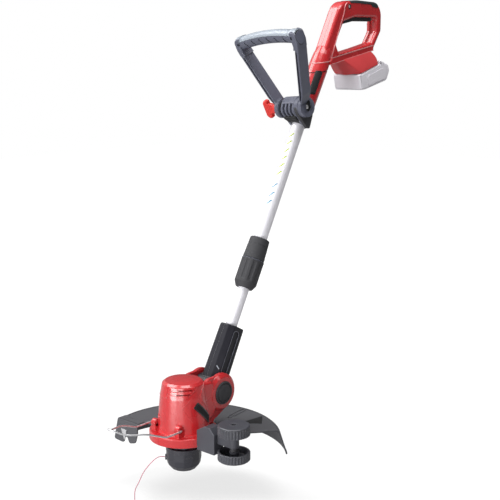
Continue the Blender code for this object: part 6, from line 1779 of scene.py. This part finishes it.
class TrimmerSpool(bpy.types.Operator):
    """Spool: slotted neck, toothed band, faceted cup, release tab and eyelet"""
    bl_idname = "trimmer.spool"
    bl_label = "Spool"

    def execute(self, context):
        dark = spool_black()

        def facets(angle, radius, height):
            if radius < 0.022 or height > -0.1045:
                return radius
            sides = 12
            wedge = (angle + math.pi / sides) % (2 * math.pi / sides) - math.pi / sides
            flat = radius * math.cos(math.pi / sides) / math.cos(wedge)
            return radius * 0.35 + flat * 0.65

        cup = lathe([(0, -0.1426), (0.021, -0.1426, 0.001), (0.024, -0.1415, 0.002),
                     (0.0325, -0.1318, 0.003), (0.0346, -0.12, 0.004), (0.0346, -0.105, 0.0006),
                     (0.0352, -0.1042, 0.0004), (0.0352, -0.0968, 0.0006), (0.0345, -0.096, 0.0004),
                     (0.032, -0.096), (0.032, -0.118), (0.03, -0.13), (0.022, -0.1396), (0, -0.1396)], ROOT,
                    144, wave=facets)
        cup.transform(MOTOR)
        tab = rounded(rectangle(-0.0125, -0.0105, 0.0125, 0.0105, 0.0015), 4)
        tab_place = MOTOR @ turn(-31, "Z") @ move(0, 0, -0.1215)
        outline = prism([tab, inset(tab, 0.0014)], 0.0332, 0.04, tab_place, edge=0.0001, steps=1)
        middle = prism([inset(tab, 0.0034)], 0.0338, 0.04, tab_place, edge=0.0003, steps=2)
        hole = rod(0.0036, 0.04, 0.03, EYELET, 32)
        cup = carve(cup, outline, middle, hole)
        band = ribbed(lathe([(0.033, -0.0968), (0.0348, -0.0968), (0.0348, -0.104), (0.033, -0.104)], ROOT,
                            72, bored=True), MOTOR, dark, 24, 0.0348, 0.0035, 0.0005, 0.0052, -0.1004)
        nose = lathe([(0.0036, 0.0368), (0.0058, 0.0368, 0.0006), (0.0062, 0.0325), (0.0036, 0.0325)],
                     EYELET, 40, bored=True)
        piece("spool_cup", [(cup, dark), (band, dark), (nose, dark)], "spool", "black_plastic",
              "spool_cap", sharp=24)
        neck = lathe([(0.0033, -0.0657), (0.024, -0.0657, 0.0006), (0.025, -0.0667, 0.0005),
                      (0.025, -0.0963), (0.0033, -0.0963)], MOTOR, 96, bored=True)
        posts = ribbed(rod(0.0248, -0.08, -0.096, ROOT, 48), MOTOR, dark, 9, 0.0262, 0.008, 0.002,
                       0.015, -0.0885)
        piece("spool_neck", [(neck, dark), (posts, dark)], "spool", "black_plastic", "spool_holder")
        nub = lathe([(0.0013, 0.037), (0.0034, 0.0371, 0.0005), (0.0034, 0.0313), (0.0013, 0.0313)], EYELET,
                    40, bored=True)
        piece("eyelet_ring", [(nub, steel())], "spool", "bright_steel", "line_eyelet")
        return {"FINISHED"}


class TrimmerScrews(bpy.types.Operator):
    """Bright six-lobe screws in their cups, body by body"""
    bl_idname = "trimmer.screws"
    bl_label = "Screws"

    def template(self):
        """A domed screw, its head's face at the origin and its shank down -Z."""
        head = lathe([(0, 0.0002), (0.0018, 0.0001, 0.001), (0.0031, -0.0006, 0.0006),
                      (0.0033, -0.0012, 0.0003), (0.0033, -0.0022), (0.0016, -0.0024), (0.0016, -0.009),
                      (0, -0.009)], ROOT, 40)
        star = []
        for i in range(24):
            angle = 2 * math.pi * i / 24
            reach = 0.0013 + 0.0004 * math.cos(6 * angle)
            star.append(around(reach, angle).xy)
        return carve(head, prism([star], -0.0014, 0.001, ROOT, ROOT, 0.0001, steps=1))

    def execute(self, context):
        out = Vector((1, 0, 0))
        down = Vector((0, 0, -1))
        hub_out = HUB.to_3x3() @ Vector((0, 1, 0))
        sets = {"handle": [], "lower_shaft": [("neck_screw", SHAFT @ Vector((-0.0196, *NECK_SCREW)), -out)],
                "head": [], "front_handle": []}
        for i, ((y, z, side), x) in enumerate(zip(HOUSING_SCREWS, (0.015, -0.0138, -0.0138))):
            sets["handle"].append((f"rear_housing_screw_{i + 1}", Vector((x, y, z)), out * side))
        for i, x in enumerate((-HUB_SCREW_X, HUB_SCREW_X)):
            sets["handle"].append((f"hub_screw_{i + 1}", HUB @ Vector((x, 0.0058, 0)), hub_out))
        for i, ((y, z), x) in enumerate(zip(MOTOR_SCREWS, (-0.0205, -0.0185))):
            sets["head"].append((f"motor_housing_screw_{i + 1}", HEAD @ Vector((x, y, z)), -out))
        for i, heading in enumerate((70, 150)):
            spot = around(0.053, math.radians(heading), -0.0812)
            sets["head"].append((f"guard_screw_{i + 1}", MOTOR @ spot, down))
        for i, x in enumerate((-0.0662, 0.0662)):
            spot = LOOP @ Vector((x, 0, LOOP_REACH - 0.0098))
            sets["front_handle"].append((f"front_grip_screw_{i + 1}", spot, LOOP.to_3x3() @ down))
        screw = stand(self.template())
        tree = kept_group("screws_in_cups", build_screws)
        for body, places in sets.items():
            points = bpy.data.meshes.new("screw_points")
            points.from_pydata([spot for _, spot, _ in places], [], [])
            aims = points.attributes.new("aim", "FLOAT_VECTOR", "POINT")
            aims.data.foreach_set("vector", [c for _, _, aim in places for c in aim])
            made = repeated(points, tree, screw=screw, size=1.0, material=zinc())
            piece(body + "_screws", [(made, zinc())], body, "bright_steel", *[name for name, _, _ in places])
        clear(screw)
        return {"FINISHED"}


STEPS = (TrimmerStage, TrimmerCuttingLine, TrimmerSolidFinishes, TrimmerRearHandle, TrimmerGrip,
         TrimmerBattery, TrimmerFrontHandle, TrimmerClampHub, TrimmerTubes, TrimmerNeck, TrimmerMotorHead,
         TrimmerGuard, TrimmerWireGuard, TrimmerWheels, TrimmerSpool, TrimmerScrews)


class TrimmerPanel(bpy.types.Panel):
    """The trimmer's finishes, sizes and building steps"""
    bl_idname = "VIEW3D_PT_trimmer"
    bl_label = "String Trimmer"
    bl_space_type = "VIEW_3D"
    bl_region_type = "UI"
    bl_category = "Trimmer"

    def draw(self, context):
        layout = self.layout
        for group in (context.scene.trimmer_colours, context.scene.trimmer_sizes):
            box = layout.box()
            for name in group.__annotations__:
                box.prop(group, name)
        for step in STEPS:
            layout.operator(step.bl_idname)


CLASSES = (TrimmerColours, TrimmerSizes, *STEPS, TrimmerPanel)


def register():
    for cls in CLASSES:
        bpy.utils.register_class(cls)
    bpy.types.Scene.trimmer_colours = PointerProperty(type=TrimmerColours)
    bpy.types.Scene.trimmer_sizes = PointerProperty(type=TrimmerSizes)


def unregister():
    del bpy.types.Scene.trimmer_sizes
    del bpy.types.Scene.trimmer_colours
    for cls in reversed(CLASSES):
        bpy.utils.unregister_class(cls)


def main():
    register()
    bpy.ops.trimmer.stage()
    bpy.ops.trimmer.cutting_line()
    bpy.ops.trimmer.solid_finishes()
    bpy.ops.trimmer.rear_handle()
    bpy.ops.trimmer.grip()
    bpy.ops.trimmer.battery()
    bpy.ops.trimmer.front_handle()
    bpy.ops.trimmer.clamp_hub()
    bpy.ops.trimmer.tubes()
    bpy.ops.trimmer.neck()
    bpy.ops.trimmer.motor_head()
    bpy.ops.trimmer.guard()
    bpy.ops.trimmer.wire_guard()
    bpy.ops.trimmer.wheels()
    bpy.ops.trimmer.spool()
    bpy.ops.trimmer.screws()


if __name__ == "__main__":
    main()
